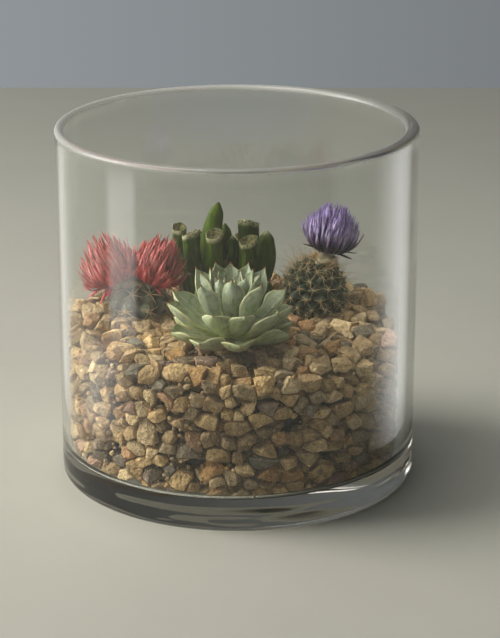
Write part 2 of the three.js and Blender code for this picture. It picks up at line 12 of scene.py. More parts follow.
import bpy
import numpy as np
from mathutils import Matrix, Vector


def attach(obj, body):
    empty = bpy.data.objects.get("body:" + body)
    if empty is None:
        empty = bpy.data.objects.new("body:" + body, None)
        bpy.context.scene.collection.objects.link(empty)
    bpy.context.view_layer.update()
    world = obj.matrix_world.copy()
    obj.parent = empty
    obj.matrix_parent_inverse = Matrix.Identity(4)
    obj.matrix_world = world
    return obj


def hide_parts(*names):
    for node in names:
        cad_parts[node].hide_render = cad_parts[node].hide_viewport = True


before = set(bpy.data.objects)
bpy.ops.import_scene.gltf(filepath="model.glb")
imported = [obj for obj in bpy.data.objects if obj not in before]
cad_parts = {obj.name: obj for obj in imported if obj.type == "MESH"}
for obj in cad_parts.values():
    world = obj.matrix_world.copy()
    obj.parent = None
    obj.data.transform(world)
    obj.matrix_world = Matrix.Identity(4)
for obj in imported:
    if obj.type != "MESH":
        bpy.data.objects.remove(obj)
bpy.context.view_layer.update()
print("nodes:", ", ".join(sorted(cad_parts)))

# %% [markdown]
# ## The camera
# The photograph looks down on the jar through a long lens. Its place and lens were solved from the
# rim's ellipse and the foot's. Blender counts the lens in millimetres of a 36 mm wide sensor laid along
# the picture's longer side, so 2205 pixels over 638 become 124.4 mm.

# %% The camera
FOCAL_PIXELS, PICTURE_PIXELS, SENSOR = 2205, 638, 36
camera = bpy.data.objects.new("camera", bpy.data.cameras.new("camera"))
bpy.context.scene.collection.objects.link(camera)
camera.location = (0.00527, -0.881845, 0.364624)
camera.rotation_euler = (math.radians(71.264), 0, 0)
camera.data.lens = FOCAL_PIXELS / PICTURE_PIXELS * SENSOR
camera.data.clip_start, camera.data.clip_end = 0.05, 20
bpy.context.scene.camera = camera
bpy.context.scene.view_settings.view_transform = "Standard"
print("lens", round(camera.data.lens, 1), "mm")

# %% [markdown]
# ## From arrays to meshes
# A mesh is a list of points and a list of faces. Filling it point by point in Python is slow, so every
# piece here is worked out as whole numpy arrays in millimetres and handed over in one go. Numbers that
# a material needs at each point, such as how far along a leaf it lies, go in as named attributes.

# %% Making a piece
MM = 0.001


def piece(name, points, quads=(), corners=(), loops=(), sides=(), smooth=True, **values):
    """A mesh object from points in mm and faces with four, three or any number of sides.

    Each of the values becomes a point attribute of its own name.
    """
    points = np.asarray(points, float).reshape(-1, 3)
    quads = np.asarray(quads, np.int64).reshape(-1, 4)
    corners = np.asarray(corners, np.int64).reshape(-1, 3)
    order = np.concatenate([quads.ravel(), corners.ravel(), np.asarray(loops, np.int64)])
    count = np.concatenate([np.full(len(quads), 4), np.full(len(corners), 3), np.asarray(sides, np.int64)])
    starts = np.cumsum(count) - count
    mesh = bpy.data.meshes.new(name)
    mesh.vertices.add(len(points))
    mesh.vertices.foreach_set("co", (points * MM).astype(np.float32).ravel())
    mesh.loops.add(len(order))
    mesh.loops.foreach_set("vertex_index", order.astype(np.int32))
    mesh.polygons.add(len(starts))
    mesh.polygons.foreach_set("loop_start", starts.astype(np.int32))
    mesh.update(calc_edges=True)
    mesh.polygons.foreach_set("use_smooth", np.full(len(starts), smooth))
    for key, value in values.items():
        layer = mesh.attributes.new(key, "FLOAT", "POINT")
        layer.data.foreach_set("value", np.asarray(value, np.float32).ravel())
    made = bpy.data.objects.new(name, mesh)
    bpy.context.scene.collection.objects.link(made)
    print(f"{name}: {(count - 2).sum()} triangles")
    return made


def dress(made, finish, node):
    """Gives a piece its finish, lets it ride on the jar and hides the solid it stands for."""
    made.data.materials.append(finish)
    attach(made, "root")
    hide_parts(node)


# %% [markdown]
# ## Tubes
# Leaves, spines and petals are all closed tubes: rings of points strung along a line, with one point at
# each end. Many tubes of the same build are made at once by giving the arrays one more axis.

# %% Tubes, rings and smooth profiles
def grid(rows, around):
    """The quads between rows of points; each row is a ring that closes on itself."""
    i, j = np.meshgrid(np.arange(rows - 1), np.arange(around), indexing="ij")
    k = (j + 1) % around
    here, above = i * around, (i + 1) * around
    return np.stack([here + j, here + k, above + k, above + j], -1).reshape(-1, 4)


def tubes(rings, first, last):
    """Closed tubes from rings (tube, ring, place, xyz) and their two end points: points, quads, corners."""
    count, rows, around = rings.shape[:3]
    ends = np.stack([first, last], 1)
    points = np.concatenate([rings.reshape(count, -1, 3), ends], 1)
    j = np.arange(around)
    k = (j + 1) % around
    low, high = np.full(around, rows * around), np.full(around, rows * around + 1)
    top = (rows - 1) * around
    caps = np.concatenate([np.stack([low, k, j], -1), np.stack([high, top + j, top + k], -1)])
    shift = (np.arange(count) * points.shape[1])[:, None, None]
    return points.reshape(-1, 3), (grid(rows, around) + shift).reshape(-1, 4), (caps + shift).reshape(-1, 3)


def per_point(rings, values, first, last):
    """Values for the points of tubes(): one array over the rings, and the values of the two ends."""
    count, rows, around = rings.shape[:3]
    body = np.broadcast_to(values, (count, rows, around)).reshape(count, -1)
    ends = np.broadcast_to(np.stack(np.broadcast_arrays(first, last), -1), (count, 2))
    return np.concatenate([body, ends], 1)


def through(stations, values, at):
    """A smooth curve through given values: a cubic between stations, with the slope of its neighbours."""
    stations, values, at = (np.asarray(x, float) for x in (stations, values, at))
    slope = np.gradient(values, stations)
    i = np.clip(np.searchsorted(stations, at) - 1, 0, len(stations) - 2)
    span = stations[i + 1] - stations[i]
    t = np.clip((at - stations[i]) / span, 0, 1)
    rise = values[i] * (1 + 2 * t) * (1 - t) ** 2 + values[i + 1] * t * t * (3 - 2 * t)
    return rise + span * (slope[i] * t * (1 - t) ** 2 - slope[i + 1] * t * t * (1 - t))


def unit(vectors):
    """Vectors of length one."""
    return vectors / np.maximum(np.linalg.norm(vectors, axis=-1, keepdims=True), 1e-9)


def linear(red, green, blue):
    """A colour in screen values from 0 to 255, as the linear numbers that a shader works in."""
    share = np.array([red, green, blue]) / 255
    return (*np.where(share <= 0.04045, share / 12.92, ((share + 0.055) / 1.055) ** 2.4), 1.0)


print("mid grey is", round(linear(128, 128, 128)[0], 3), "in linear light")

# %% [markdown]
# ## Finishes
# A finish is a Principled material with a few nodes in front of it. The patterns are noise on Object
# coordinates, which are the real millimetres of the piece, so a speck keeps its size on every piece.
# Numbers that are the same all over are set on the shader itself.

# %% A small workbench for finishes
class Finish:
    """A Principled material with short ways to add what varies its colour and its relief."""

    def __init__(self, name, **numbers):
        self.material = bpy.data.materials.new(name)
        self.material.use_nodes = True
        self.tree = self.material.node_tree
        self.shader = self.tree.nodes["Principled BSDF"]
        self.place = self.add("ShaderNodeTexCoord").outputs["Object"]
        for socket, number in numbers.items():
            self.shader.inputs[socket.replace("_", " ")].default_value = number

    def add(self, kind, inputs=None, **settings):
        """A node with its settings; an input is a number, a colour or another node's socket."""
        node = self.tree.nodes.new(kind)
        for key, value in settings.items():
            setattr(node, key, value)
        for key, value in (inputs or {}).items():
            if isinstance(value, bpy.types.NodeSocket):
                self.tree.links.new(value, node.inputs[key])
            else:
                node.inputs[key].default_value = value
        return node

    def grain(self, size, detail=3, stretch=(1, 1, 1)):
        """Cloudy noise whose lumps are about size mm across, 0 to 1."""
        place = self.add("ShaderNodeMapping", {"Vector": self.place, "Scale": stretch}).outputs[0]
        noise = {"Vector": place, "Scale": 1 / (size * MM), "Detail": detail}
        return self.add("ShaderNodeTexNoise", noise).outputs["Fac"]

    def cells(self, size):
        """How far it is to the middle of the nearest cell, where cells are about size mm across."""
        cells = {"Vector": self.place, "Scale": 1 / (size * MM)}
        return self.add("ShaderNodeTexVoronoi", cells).outputs["Distance"]

    def value(self, name):
        """A number that the mesh carries at each point."""
        return self.add("ShaderNodeAttribute", attribute_name=name).outputs["Fac"]

    def lengthwise(self, across, along, which, strands):
        """Noise drawn out along a leaf: fine across it, slow along it and different on each one."""
        spread = [self.maths("MULTIPLY", share, size)
                  for share, size in ((across, strands), (along, 1.4), (which, 61.0))]
        place = self.add("ShaderNodeCombineXYZ", dict(enumerate(spread))).outputs[0]
        return self.add("ShaderNodeTexNoise", {"Vector": place, "Scale": 1.0, "Detail": 2}).outputs["Fac"]

    def maths(self, how, first, second):
        """Two numbers multiplied, added or compared."""
        return self.add("ShaderNodeMath", {0: first, 1: second}, operation=how).outputs[0]

    def band(self, share, low, high):
        """0 where share is under low, 1 over high, smooth between."""
        return self.add("ShaderNodeMapRange", {"Value": share, "From Min": low, "From Max": high},
                        interpolation_type="SMOOTHSTEP").outputs[0]

    def slope(self, share, low, high, at_low, at_high):
        """A number that goes evenly from at_low to at_high while share goes from low to high."""
        return self.add("ShaderNodeMapRange", {"Value": share, "From Min": low, "From Max": high,
                                               "To Min": at_low, "To Max": at_high}).outputs[0]

    def shades(self, share, *stops):
        """Colours along a share from 0 to 1: (share, colour) pairs."""
        node = self.add("ShaderNodeValToRGB", {"Fac": share})
        marks = node.color_ramp.elements
        while len(marks) < len(stops):
            marks.new(0.5)
        for mark, (at, colour) in zip(marks, stops):
            mark.position = at
            mark.color = colour
        return node.outputs["Color"]

    def mix(self, share, first, second, how="MIX"):
        """One colour that goes over into another with a share, or that is multiplied by it."""
        inputs = {0: share, 6: first, 7: second}
        return self.add("ShaderNodeMix", inputs, data_type="RGBA", blend_type=how).outputs[2]

    def over(self, below, colour, share, most=1.0):
        """A colour laid over the one below by a share, which is thinned to most where it is full."""
        if most < 1:
            share = self.maths("MULTIPLY", share, most)
        return self.mix(share, below, colour)

    def paint(self, colour):
        """The colour of the surface."""
        self.tree.links.new(colour, self.shader.inputs["Base Color"])

    def rough(self, share, low, high):
        """Roughness that varies with a share, from low to high."""
        self.tree.links.new(self.slope(share, 0, 1, low, high), self.shader.inputs["Roughness"])

    def relief(self, *layers):
        """Fine relief: (height from 0 to 1, depth in mm) pairs, laid over one another."""
        below = None
        for height, depth in layers:
            node = self.add("ShaderNodeBump", {"Height": height, "Distance": depth * MM, "Strength": 1.0})
            if below is not None:
                self.tree.links.new(below, node.inputs["Normal"])
            below = node.outputs["Normal"]
        self.tree.links.new(below, self.shader.inputs["Normal"])


print("finishes are made from", bpy.app.version_string, "shader nodes")

# %% [markdown]
# ## The glass jar
# The jar is one turned wall with a thick floor. Its bore sits a little off centre, so the glass is thin
# at the left and thick at the right, which the rim shows as a widening band. The surface is a profile
# carried round the axis: each row has a radius, a height and a share from 0 on the outside to 1 in the
# bore, and that share moves the row's middle sideways. Hand-made glass is never quite even, so slow
# waves of a few hundredths of a millimetre bend what is seen through it.

# %% Glass jar: its profile
JAR_RADIUS, JAR_HEIGHT, HEEL = 75.0, 150.0, 4.0
BORE_RADIUS, BORE_SHIFT, JAR_FLOOR, FILLET = 70.15, -1.25, 12.8, 4.0
LIP, PUNT, PUNT_RADIUS = 1.7, 1.1, 66.0


def arc(radius, height, size, start, end, steps):
    """Rows on an arc about (radius, height), from one angle to another in degrees."""
    angle = np.radians(np.linspace(start, end, steps + 1))
    return np.stack([radius + size * np.cos(angle), height + size * np.sin(angle)], -1)


def straight(start, end, steps):
    """Rows on a straight line, without its two ends."""
    return np.linspace(start, end, steps + 1)[1:-1]


punt = np.linspace(3, PUNT_RADIUS - 2, 12)
outside = np.concatenate([
    np.stack([punt, PUNT * (1 - (punt / PUNT_RADIUS) ** 2)], -1),
    arc(JAR_RADIUS - HEEL, HEEL, HEEL, -90, 0, 10),
    straight((JAR_RADIUS, HEEL), (JAR_RADIUS, JAR_HEIGHT - LIP), 26),
    arc(JAR_RADIUS - LIP, JAR_HEIGHT - LIP, LIP, 0, 90, 8),
])
inside = np.concatenate([
    arc(BORE_RADIUS + LIP, JAR_HEIGHT - LIP, LIP, 90, 180, 8),
    straight((BORE_RADIUS, JAR_HEIGHT - LIP), (BORE_RADIUS, JAR_FLOOR + FILLET), 24),
    arc(BORE_RADIUS - FILLET, JAR_FLOOR + FILLET, FILLET, 0, -90, 8),
    straight((BORE_RADIUS - FILLET, JAR_FLOOR), (2, JAR_FLOOR), 9),
])
jar_rows = np.concatenate([outside, inside])
jar_shift = np.concatenate([np.zeros(len(outside)), np.ones(len(inside))]) * BORE_SHIFT
print(len(jar_rows), "rows from the underside, over the lip, to the floor of the bore")

# %% Glass jar: the surface
AROUND_JAR = 288
turn = np.arange(AROUND_JAR) / AROUND_JAR * 2 * np.pi
radius, height = jar_rows[:, :1], jar_rows[:, 1:]
# The last number keeps the waves inside the true radius.
wave = 0.05 * np.sin(2 * turn + 0.7 + height / 60) + 0.03 * np.sin(5 * turn - height / 35) - 0.08
reach = radius + wave * np.clip(radius / 60, 0, 1) ** 4
jar_rings = np.stack(np.broadcast_arrays(
    jar_shift[:, None] + reach * np.cos(turn), reach * np.sin(turn), height), -1)
glass_jar = piece("glass_cylinder", *tubes(
    jar_rings[None], np.array([[0, 0, PUNT]]), np.array([[BORE_SHIFT, 0, JAR_FLOOR]])))

# %% [markdown]
# ## Clear glass
# Real glass bends light by an index of about 1.5 and is nearly colourless, with a grey-green cast where
# it is thick, which an absorbing volume gives. A trace of smudging lives in the roughness, as on any jar
# that has been handled, and slow level streaks in the thick foot bend what is seen through it.

# %% Clear glass: the body
LIP_LOW, LIP_FULL = JAR_HEIGHT - 2.8, JAR_HEIGHT - 1.2
FOOT_FULL, FOOT_TOP, STREAK_DEPTH = 8, 12, 0.8
MOST_SMUDGE, LIP_SATIN = 0.035, 0.28
glass = Finish("clear_glass", Transmission_Weight=1.0, IOR=1.5)
glass.shader.inputs["Base Color"].default_value = (0.93, 0.945, 0.935, 1)
split = glass.add("ShaderNodeSeparateXYZ", {0: glass.place})
level = split.outputs["Z"]
lip = glass.band(level, LIP_LOW * MM, LIP_FULL * MM)
smudge = glass.maths("MULTIPLY", glass.band(glass.grain(26, 5, (1, 1, 0.4)), 0.45, 0.8), MOST_SMUDGE)
glass.rough(glass.maths("ADD", smudge, glass.maths("MULTIPLY", lip, LIP_SATIN)), 0.0, 1.0)
foot = glass.band(level, FOOT_TOP * MM, FOOT_FULL * MM)
glass.relief((glass.maths("MULTIPLY", glass.grain(34, 1, (1, 1, 6)), foot), STREAK_DEPTH))
print("glass with an index of", glass.shader.inputs["IOR"].default_value)

# %% [markdown]
# The ground lip is satin and slightly white, so it shows as a pale band. A matt surface mixed in there gives
# that. Its share is painted largest on the left and fades towards the right, as painted light from the window
# on the left.
# Light that only passes through on its way to the stones is let through unbent, which a renderer
# otherwise leaves dark or speckled: a Light Path node swaps in a clear surface for shadow rays. Light
# caught in the wall is mirrored up and down it dozens of times. After the fourth time it is let out by
# the same clear surface, or the rim would turn black.

# %% Clear glass: the lip, and what is let through
MOST_BOUNCES = 4
# Painted light: where the lip is painted whitest, as if lit by the window on the left, and where that fades
# out.
PAINTED_LIGHT_FROM, PAINTED_LIGHT_TO = (20, 0.34), (68, 0.06)  # mm to the right of the middle, and how white the lip is there
path = glass.add("ShaderNodeLightPath")
clear = glass.add("ShaderNodeBsdfTransparent", {"Color": (0.92, 0.935, 0.93, 1)})
ground = glass.add("ShaderNodeBsdfDiffuse", {"Color": (0.8, 0.78, 0.73, 1)})
second = glass.add("ShaderNodeMixShader", {0: lip, 1: clear.outputs[0], 2: ground.outputs[0]})
# Painted light: the lip's share of matt white falls from the window's side towards the right.
painted_window_light = glass.slope(split.outputs["X"], PAINTED_LIGHT_FROM[0] * MM, PAINTED_LIGHT_TO[0] * MM, PAINTED_LIGHT_FROM[1], PAINTED_LIGHT_TO[1])
caught = glass.maths("GREATER_THAN", path.outputs["Ray Depth"], MOST_BOUNCES + 0.5)
let_through = glass.maths("MAXIMUM", path.outputs["Is Shadow Ray"], caught)
share = glass.maths("MAXIMUM", let_through, glass.maths("MULTIPLY", lip, painted_window_light))
either = glass.add("ShaderNodeMixShader", {0: share, 1: glass.shader.outputs[0], 2: second.outputs[0]})
depth = glass.add("ShaderNodeVolumeAbsorption", {"Color": (0.27, 0.24, 0.18, 1), "Density": 11.0})
output = glass.tree.nodes["Material Output"]
glass.tree.links.new(either.outputs[0], output.inputs["Surface"])
glass.tree.links.new(depth.outputs[0], output.inputs["Volume"])
dress(glass_jar, glass.material, "glass_jar")
print("the jar has", len(glass.tree.nodes), "shader nodes")

# %% [markdown]
# ## Crushed stone
# The jar holds some fifteen hundred chips, 4 to 12 mm across, broken angular with rubbed edges. They lie
# tightly with dark gaps, and the outer ones touch the glass. Dropping them in a simulation would take
# minutes. Instead each chip is cut out by planes: one halfway to every neighbour, as between the cells
# of a foam, the glass, a tilted lid, and six planes of a crooked box of its own. Every corner is where
# three planes meet and no other plane cuts it off, so a chip's corners are worked out for all triples of
# planes at once. A few more planes at random break up the faces that would otherwise lie flat on the
# glass like tiles.

# %% Stones: where they may be
STONE_LEVEL = 65.5
HEAPS = np.array([  # centre, spread and height of each heap or dip of the surface
    (-66, 12, 20, 6.5), (60, 22, 17, 8), (0, 62, 30, 4), (72, -6, 20, 2.5), (-6, -74, 20, -2.6)])
STONE_REACH, STONE_FLOOR = 69.8, 13.15


def surface_height(x, y):
    """Height of the stones at a place: a general level plus a bell-shaped rise for each heap."""
    away = np.hypot(x[..., None] - HEAPS[:, 0], y[..., None] - HEAPS[:, 1]) / HEAPS[:, 2]
    return STONE_LEVEL + (HEAPS[:, 3] * np.exp(-away ** 2)).sum(-1)


def wall_seeds(depth, pitch, course, rng, loose=0.36):
    """Middles of stones in courses at a depth behind the glass, each shifted half a stone and jittered."""
    reach = STONE_REACH - depth
    rows, count = np.arange(11), round(2 * np.pi * reach / pitch)
    row, place = (a.ravel() for a in np.meshgrid(rows, np.arange(count), indexing="ij"))
    angle = (place + row % 2 / 2 + rng.uniform(-loose, loose, row.size)) / count * 2 * np.pi
    z = STONE_FLOOR + course * (row + 0.5 + rng.uniform(-loose, loose, row.size))
    inward = reach + rng.uniform(-0.6, 0.8, row.size)
    seeds = np.stack([BORE_SHIFT + inward * np.cos(angle), inward * np.sin(angle), z], -1)
    return seeds[z < surface_height(seeds[:, 0], seeds[:, 1]) - 2.2]


def disc_seeds(reach, pitch, height_of, rng, loose=0.34):
    """Middles of stones in a layer: a honeycomb of points, jittered, at a height for each place."""
    steps = np.arange(-18, 19)
    row, place = (a.ravel() for a in np.meshgrid(steps, steps, indexing="ij"))
    x = (place + row % 2 / 2) * pitch + rng.uniform(-loose, loose, row.size) * pitch
    y = row * pitch * 0.87 + rng.uniform(-loose, loose, row.size) * pitch
    keep = np.hypot(x - BORE_SHIFT, y) < reach
    x, y = x[keep], y[keep]
    return np.stack([x, y, height_of(x, y) + rng.uniform(-0.9, 0.9, x.size)], -1)


rng = np.random.default_rng(7)
layers = {
    "wall": wall_seeds(2.9, 6.8, 5.3, rng),
    "behind_wall": wall_seeds(8.4, 7.8, 6.4, rng),
    "top": disc_seeds(64.5, 6.3, lambda x, y: surface_height(x, y) - 2.2, rng),
    "under_top": disc_seeds(60, 8.0, lambda x, y: surface_height(x, y) - 7.8, rng),
    "floor": disc_seeds(62, 7.6, lambda x, y: 0 * x + STONE_FLOOR + 2.8, rng),
    "over_floor": disc_seeds(56, 8.6, lambda x, y: 0 * x + STONE_FLOOR + 9, rng),
}
seeds = np.concatenate(list(layers.values()))
layer_of = np.repeat(np.arange(len(layers)), [len(s) for s in layers.values()])
CLOSEST, LEFT_OUT = 3.9, 0.08  # least mm between two middles, and the share of stones that make a gap
away = np.linalg.norm(seeds[:, None] - seeds[None], axis=-1)
crowded = np.triu(away < CLOSEST, 1).any(0)
dropped = crowded | (rng.random(len(seeds)) < LEFT_OUT)
SHARD, SHARD_REACH = np.array([15.3, 60.3, 67]), 4.5  # a stone that would stand on its point at the back
dropped |= np.linalg.norm(seeds - SHARD, axis=1) < SHARD_REACH
seeds, layer_of = seeds[~dropped], layer_of[~dropped]
print(len(seeds), "stones")

# %% Balls and turns for small grains
def ball(splits):
    """Directions and faces of an icosahedron whose triangles are split in four, so many times."""
    g = (1 + 5 ** 0.5) / 2
    points = np.array([(-1, g, 0), (1, g, 0), (-1, -g, 0), (1, -g, 0), (0, -1, g), (0, 1, g),
                       (0, -1, -g), (0, 1, -g), (g, 0, -1), (g, 0, 1), (-g, 0, -1), (-g, 0, 1)], float)
    faces = np.array([(0, 11, 5), (0, 5, 1), (0, 1, 7), (0, 7, 10), (0, 10, 11), (1, 5, 9), (5, 11, 4),
                      (11, 10, 2), (10, 7, 6), (7, 1, 8), (3, 9, 4), (3, 4, 2), (3, 2, 6), (3, 6, 8),
                      (3, 8, 9), (4, 9, 5), (2, 4, 11), (6, 2, 10), (8, 6, 7), (9, 8, 1)])
    for _ in range(splits):
        a, b, c = faces.T
        sides = [np.stack(pair, -1) for pair in ((a, b), (b, c), (c, a))]
        edges = np.sort(np.concatenate(sides), 1)
        kept, which = np.unique(edges, axis=0, return_inverse=True)
        ab, bc, ca = (len(points) + which.reshape(-1)).reshape(3, -1)
        points = np.concatenate([points, points[kept].mean(1)])
        quarters = (a, ab, ca), (b, bc, ab), (c, ca, bc), (ab, bc, ca)
        faces = np.concatenate([np.stack(quarter, -1) for quarter in quarters])
    return unit(points), faces


def turns(count, rng):
    """Random rotations: the matrices of random quaternions."""
    w, x, y, z = unit(rng.normal(size=(count, 4))).T
    return np.stack([1 - 2 * (y * y + z * z), 2 * (x * y - z * w), 2 * (x * z + y * w),
                     2 * (x * y + z * w), 1 - 2 * (x * x + z * z), 2 * (y * z - x * w),
                     2 * (x * z - y * w), 2 * (y * z + x * w), 1 - 2 * (x * x + y * y)], -1).reshape(-1, 3, 3)


print("a ball split once has", len(ball(1)[0]), "points")

# %% Stones: the planes that cut each one out
def cutting_planes(seeds, rng, gap=0.4, near=10):
    """Directions and distances from each seed: halfway planes, the glass, and a crooked box of its own."""
    count = len(seeds)
    away = np.linalg.norm(seeds[:, None] - seeds[None], axis=-1)
    np.fill_diagonal(away, 1e9)
    others = np.argpartition(away, near, axis=1)[:, :near]
    size = np.exp(rng.normal(0, 0.3, count)).clip(0.55, 1.7)
    between = unit(seeds[others] - seeds[:, None])
    share = size[:, None] / (size[:, None] + size[others])
    halfway = np.maximum(np.take_along_axis(away, others, 1) * share - gap / 2, 0.5)
    from_axis = np.linalg.norm(seeds[:, :2] - (BORE_SHIFT, 0), axis=1)
    out = np.column_stack([(seeds[:, :2] - (BORE_SHIFT, 0)) / from_axis[:, None], np.zeros(count)])
    down = np.tile([0.0, 0.0, -1.0], (count, 1))
    to_wall, to_floor = STONE_REACH - from_axis, seeds[:, 2] - STONE_FLOOR
    heel = (to_wall + to_floor - FILLET * (2 - 2 ** 0.5)) / 2 ** 0.5
    lid = unit(rng.normal(0, 0.26, (count, 3)) - down)
    glass_planes = np.stack([out, down, (out + down) / 2 ** 0.5, lid], 1)
    glass_reach = np.stack([to_wall, to_floor, heel, rng.uniform(2.2, 3.9, count)], 1).clip(0.4)
    spin = rng.uniform(0, np.pi, count)
    c, s, zero = np.cos(spin), np.sin(spin), np.zeros(count)
    flat = np.stack([c, s, zero, -s, c, zero, zero, zero, zero + 1], -1).reshape(-1, 3, 3)
    frame_of = np.where((rng.random(count) < 0.8)[:, None, None], flat, turns(count, rng))
    box = np.concatenate([frame_of, -frame_of], 1)  # mostly upright, one in five turned any way
    box = unit(box + rng.normal(0, 0.3, box.shape))
    half = (size ** 0.6)[:, None] * rng.uniform([2.9, 2.5, 2.0], [6.0, 4.8, 3.2], (count, 3))
    half = np.concatenate([half, half], 1) * rng.uniform(0.85, 1.1, (count, 6))
    # Facets break the face at the glass, and bevels take off corners anywhere.
    facets = unit(out[:, None] + rng.normal(0, 0.45, (count, 2, 3)))
    facet_reach = (to_wall[:, None] * rng.uniform(0.74, 0.94, (count, 2))).clip(0.8)
    bevels = unit(rng.normal(size=(count, 3, 3)))
    bevel_reach = (size ** 0.6)[:, None] * rng.uniform(2.8, 4.3, (count, 3))
    planes = np.concatenate([between, glass_planes, box, facets, bevels], 1)
    return planes, np.concatenate([halfway, glass_reach, half, facet_reach, bevel_reach], 1)


# %% Stones: corners where three planes meet
STONES_AT_ONCE = 200  # as many as the memory holds with ease


def corners_of(planes, reach):
    """For each stone, where three of its planes a, b and c meet and no other plane cuts the place off.

    That place is (a0 bxc + b0 cxa + c0 axb) / a.(bxc), where a0, b0 and c0 are how far off the planes lie.
    """
    triples = np.array(list(itertools.combinations(range(planes.shape[1]), 3)))
    found = []
    for first in range(0, len(planes), STONES_AT_ONCE):
        n, h = planes[first:first + STONES_AT_ONCE], reach[first:first + STONES_AT_ONCE]
        a, b, c = (n[:, triples[:, i]] for i in range(3))
        bc, ca, ab = np.cross(b, c), np.cross(c, a), np.cross(a, b)
        volume = (a * bc).sum(-1)
        parallel = np.abs(volume) < 1e-4
        safe = np.where(parallel, 1.0, volume)
        at = sum(h[:, triples[:, i], None] * v for i, v in enumerate((bc, ca, ab))) / safe[..., None]
        within = (np.einsum("ntc,npc->ntp", at, n) < h[:, None] + 1e-7).all(-1) & ~parallel
        stone, triple = np.nonzero(within)
        found.append((stone + first, triples[triple], at[stone, triple]))
    return [np.concatenate(part) for part in zip(*found)]


# %% [markdown]
# A face is what its plane's corners enclose, so the corners are sorted by face and by their angle about
# the face's middle. To rub the edges, every face shrinks a little towards its middle inside its own
# plane. A narrow face then joins each pair of neighbours, and a small triangle closes each corner.

# %% Stones: faces with rubbed edges
def chips(seeds, rng, rub=0.18):
    """All stones: shrunken faces, a strip along every edge and a triangle at every corner."""
    planes, reach = cutting_planes(seeds, rng)
    stone, triple, at = corners_of(planes, reach)
    number = planes.shape[1]
    corner = np.repeat(np.arange(len(at)), 3)
    face = (stone[:, None] * number + triple).ravel()
    _, face = np.unique(face, return_inverse=True)
    normal = planes[stone[:, None], triple].reshape(-1, 3)
    size = np.bincount(face)
    middle = np.stack([np.bincount(face, at[corner, i]) / size for i in range(3)], -1)
    side = unit(np.cross(normal, (0.31, 0.23, 0.92)))
    spoke = at[corner] - middle[face]
    angle = np.arctan2((spoke * np.cross(normal, side)).sum(-1), (spoke * side).sum(-1))
    order = np.lexsort((angle, face))
    corner, face, spoke = corner[order], face[order], spoke[order]
    start = np.cumsum(size) - size
    here = np.arange(len(face))
    following = np.where(here - start[face] == size[face] - 1, start[face], here + 1)
    points = seeds[stone[corner]] + middle[face] + spoke * (1 - rub)
    key = corner * (len(at) + 1) + corner[following]
    back = corner[following] * (len(at) + 1) + corner
    by_key = np.argsort(key)
    place = np.searchsorted(key[by_key], back).clip(0, len(key) - 1)
    over = by_key[place]
    whole = key[over] == back
    across = following[over]
    once = whole & (corner < corner[following])
    strips = np.stack([following, here, across, over], -1)[once]
    _, lowest = np.unique(corner, return_index=True)
    tips = np.stack([across[across[lowest]], across[lowest], lowest], -1)
    return points, stone[corner], face, size, strips, tips


chip_points, chip_stone, chip_face, chip_sides, chip_strips, chip_tips = chips(seeds, rng)
print(len(chip_sides), "faces,", round(len(chip_sides) / len(seeds), 1), "on each stone")

# %% [markdown]
# The stones are shared out over a few meshes, so none gets heavy. Each point carries its stone's own
# random numbers, from which the finish picks a kind of stone and how light it is.

# %% Stones: the meshes
stone_kind, stone_light = rng.random((2, len(seeds)))


def stone_piece(name, chosen):
    """The chosen stones as one mesh, with two random numbers a stone."""
    kept = chosen[chip_stone]
    index = np.cumsum(kept) - 1
    stone = chip_stone[kept]
    strips = index[chip_strips[kept[chip_strips[:, 0]]]]
    tips = index[chip_tips[kept[chip_tips[:, 0]]]]
    sides = chip_sides[np.unique(chip_face[kept])]
    return piece(name, chip_points[kept], strips, tips, np.arange(kept.sum()), sides, smooth=False,
                 kind=stone_kind[stone], light=stone_light[stone])


front = seeds[:, 1] < 0
is_wall, is_top = np.isin(layer_of, (0, 1)), np.isin(layer_of, (2, 3))
stone_pieces = [
    stone_piece("stones_front", is_wall & front),
    stone_piece("stones_back", is_wall & ~front),
    stone_piece("stones_surface", is_top),
    stone_piece("stones_floor", np.isin(layer_of, (4, 5))),
]

# %% [markdown]
# Behind the outer stones nothing is seen but darkness and a hint of more stone. A single lumpy body fills the
# middle there: rings that follow the wall and the heaped surface, a stone and a half inside. Its finish is
# painted shade: a near-black stone colour that stands for the shade deep among the stones.

# %% Stones: the heart of the bed
def bed_heart(depth=12.0, around=96, rows=40):
    """A closed body: its radius rises from the floor, stays off the wall, and closes under the surface."""
    angle = np.arange(around) / around * 2 * np.pi
    share = np.linspace(0, 1, rows)[:, None]
    radius = (STONE_REACH - depth) * np.minimum(1, np.minimum(share / 0.2, (1 - share) / 0.35) + 0.02)
    x, y = BORE_SHIFT + radius * np.cos(angle), radius * np.sin(angle)
    rise = np.clip((share - 0.2) / 0.45, 0, 1)
    z = (STONE_FLOOR + 9) * (1 - rise) + (surface_height(x, y) - 9.5) * rise
    lumps = 1.2 * np.sin(x * 0.9 + z * 0.5) * np.sin(y * 0.8 - z * 0.6)
    return np.stack([x + lumps * np.cos(angle), y + lumps * np.sin(angle), z], -1)


heart_rings = bed_heart()
ends = heart_rings[[0, -1]].mean(1)
heart = piece("stones_heart", *tubes(heart_rings[None], ends[:1], ends[1:]))

# %% [markdown]
# ## Fines
# A bag of crushed stone always brings grit and dust along. It trickles down between the stones, lies in
# the joints against the glass and collects at the foot of the plants. Each grain is an icosahedron with
# its corners pushed in and out at random.

# %% Fines
GRAIN_CORNERS = 12
FEET = np.array([  # place and reach of the grit at the foot of each plant, and over the whole surface
    (-2, -33, 17), (-4, 20, 20), (33.8, 12, 17), (-41.8, 10, 17), (0, 0, 62)])


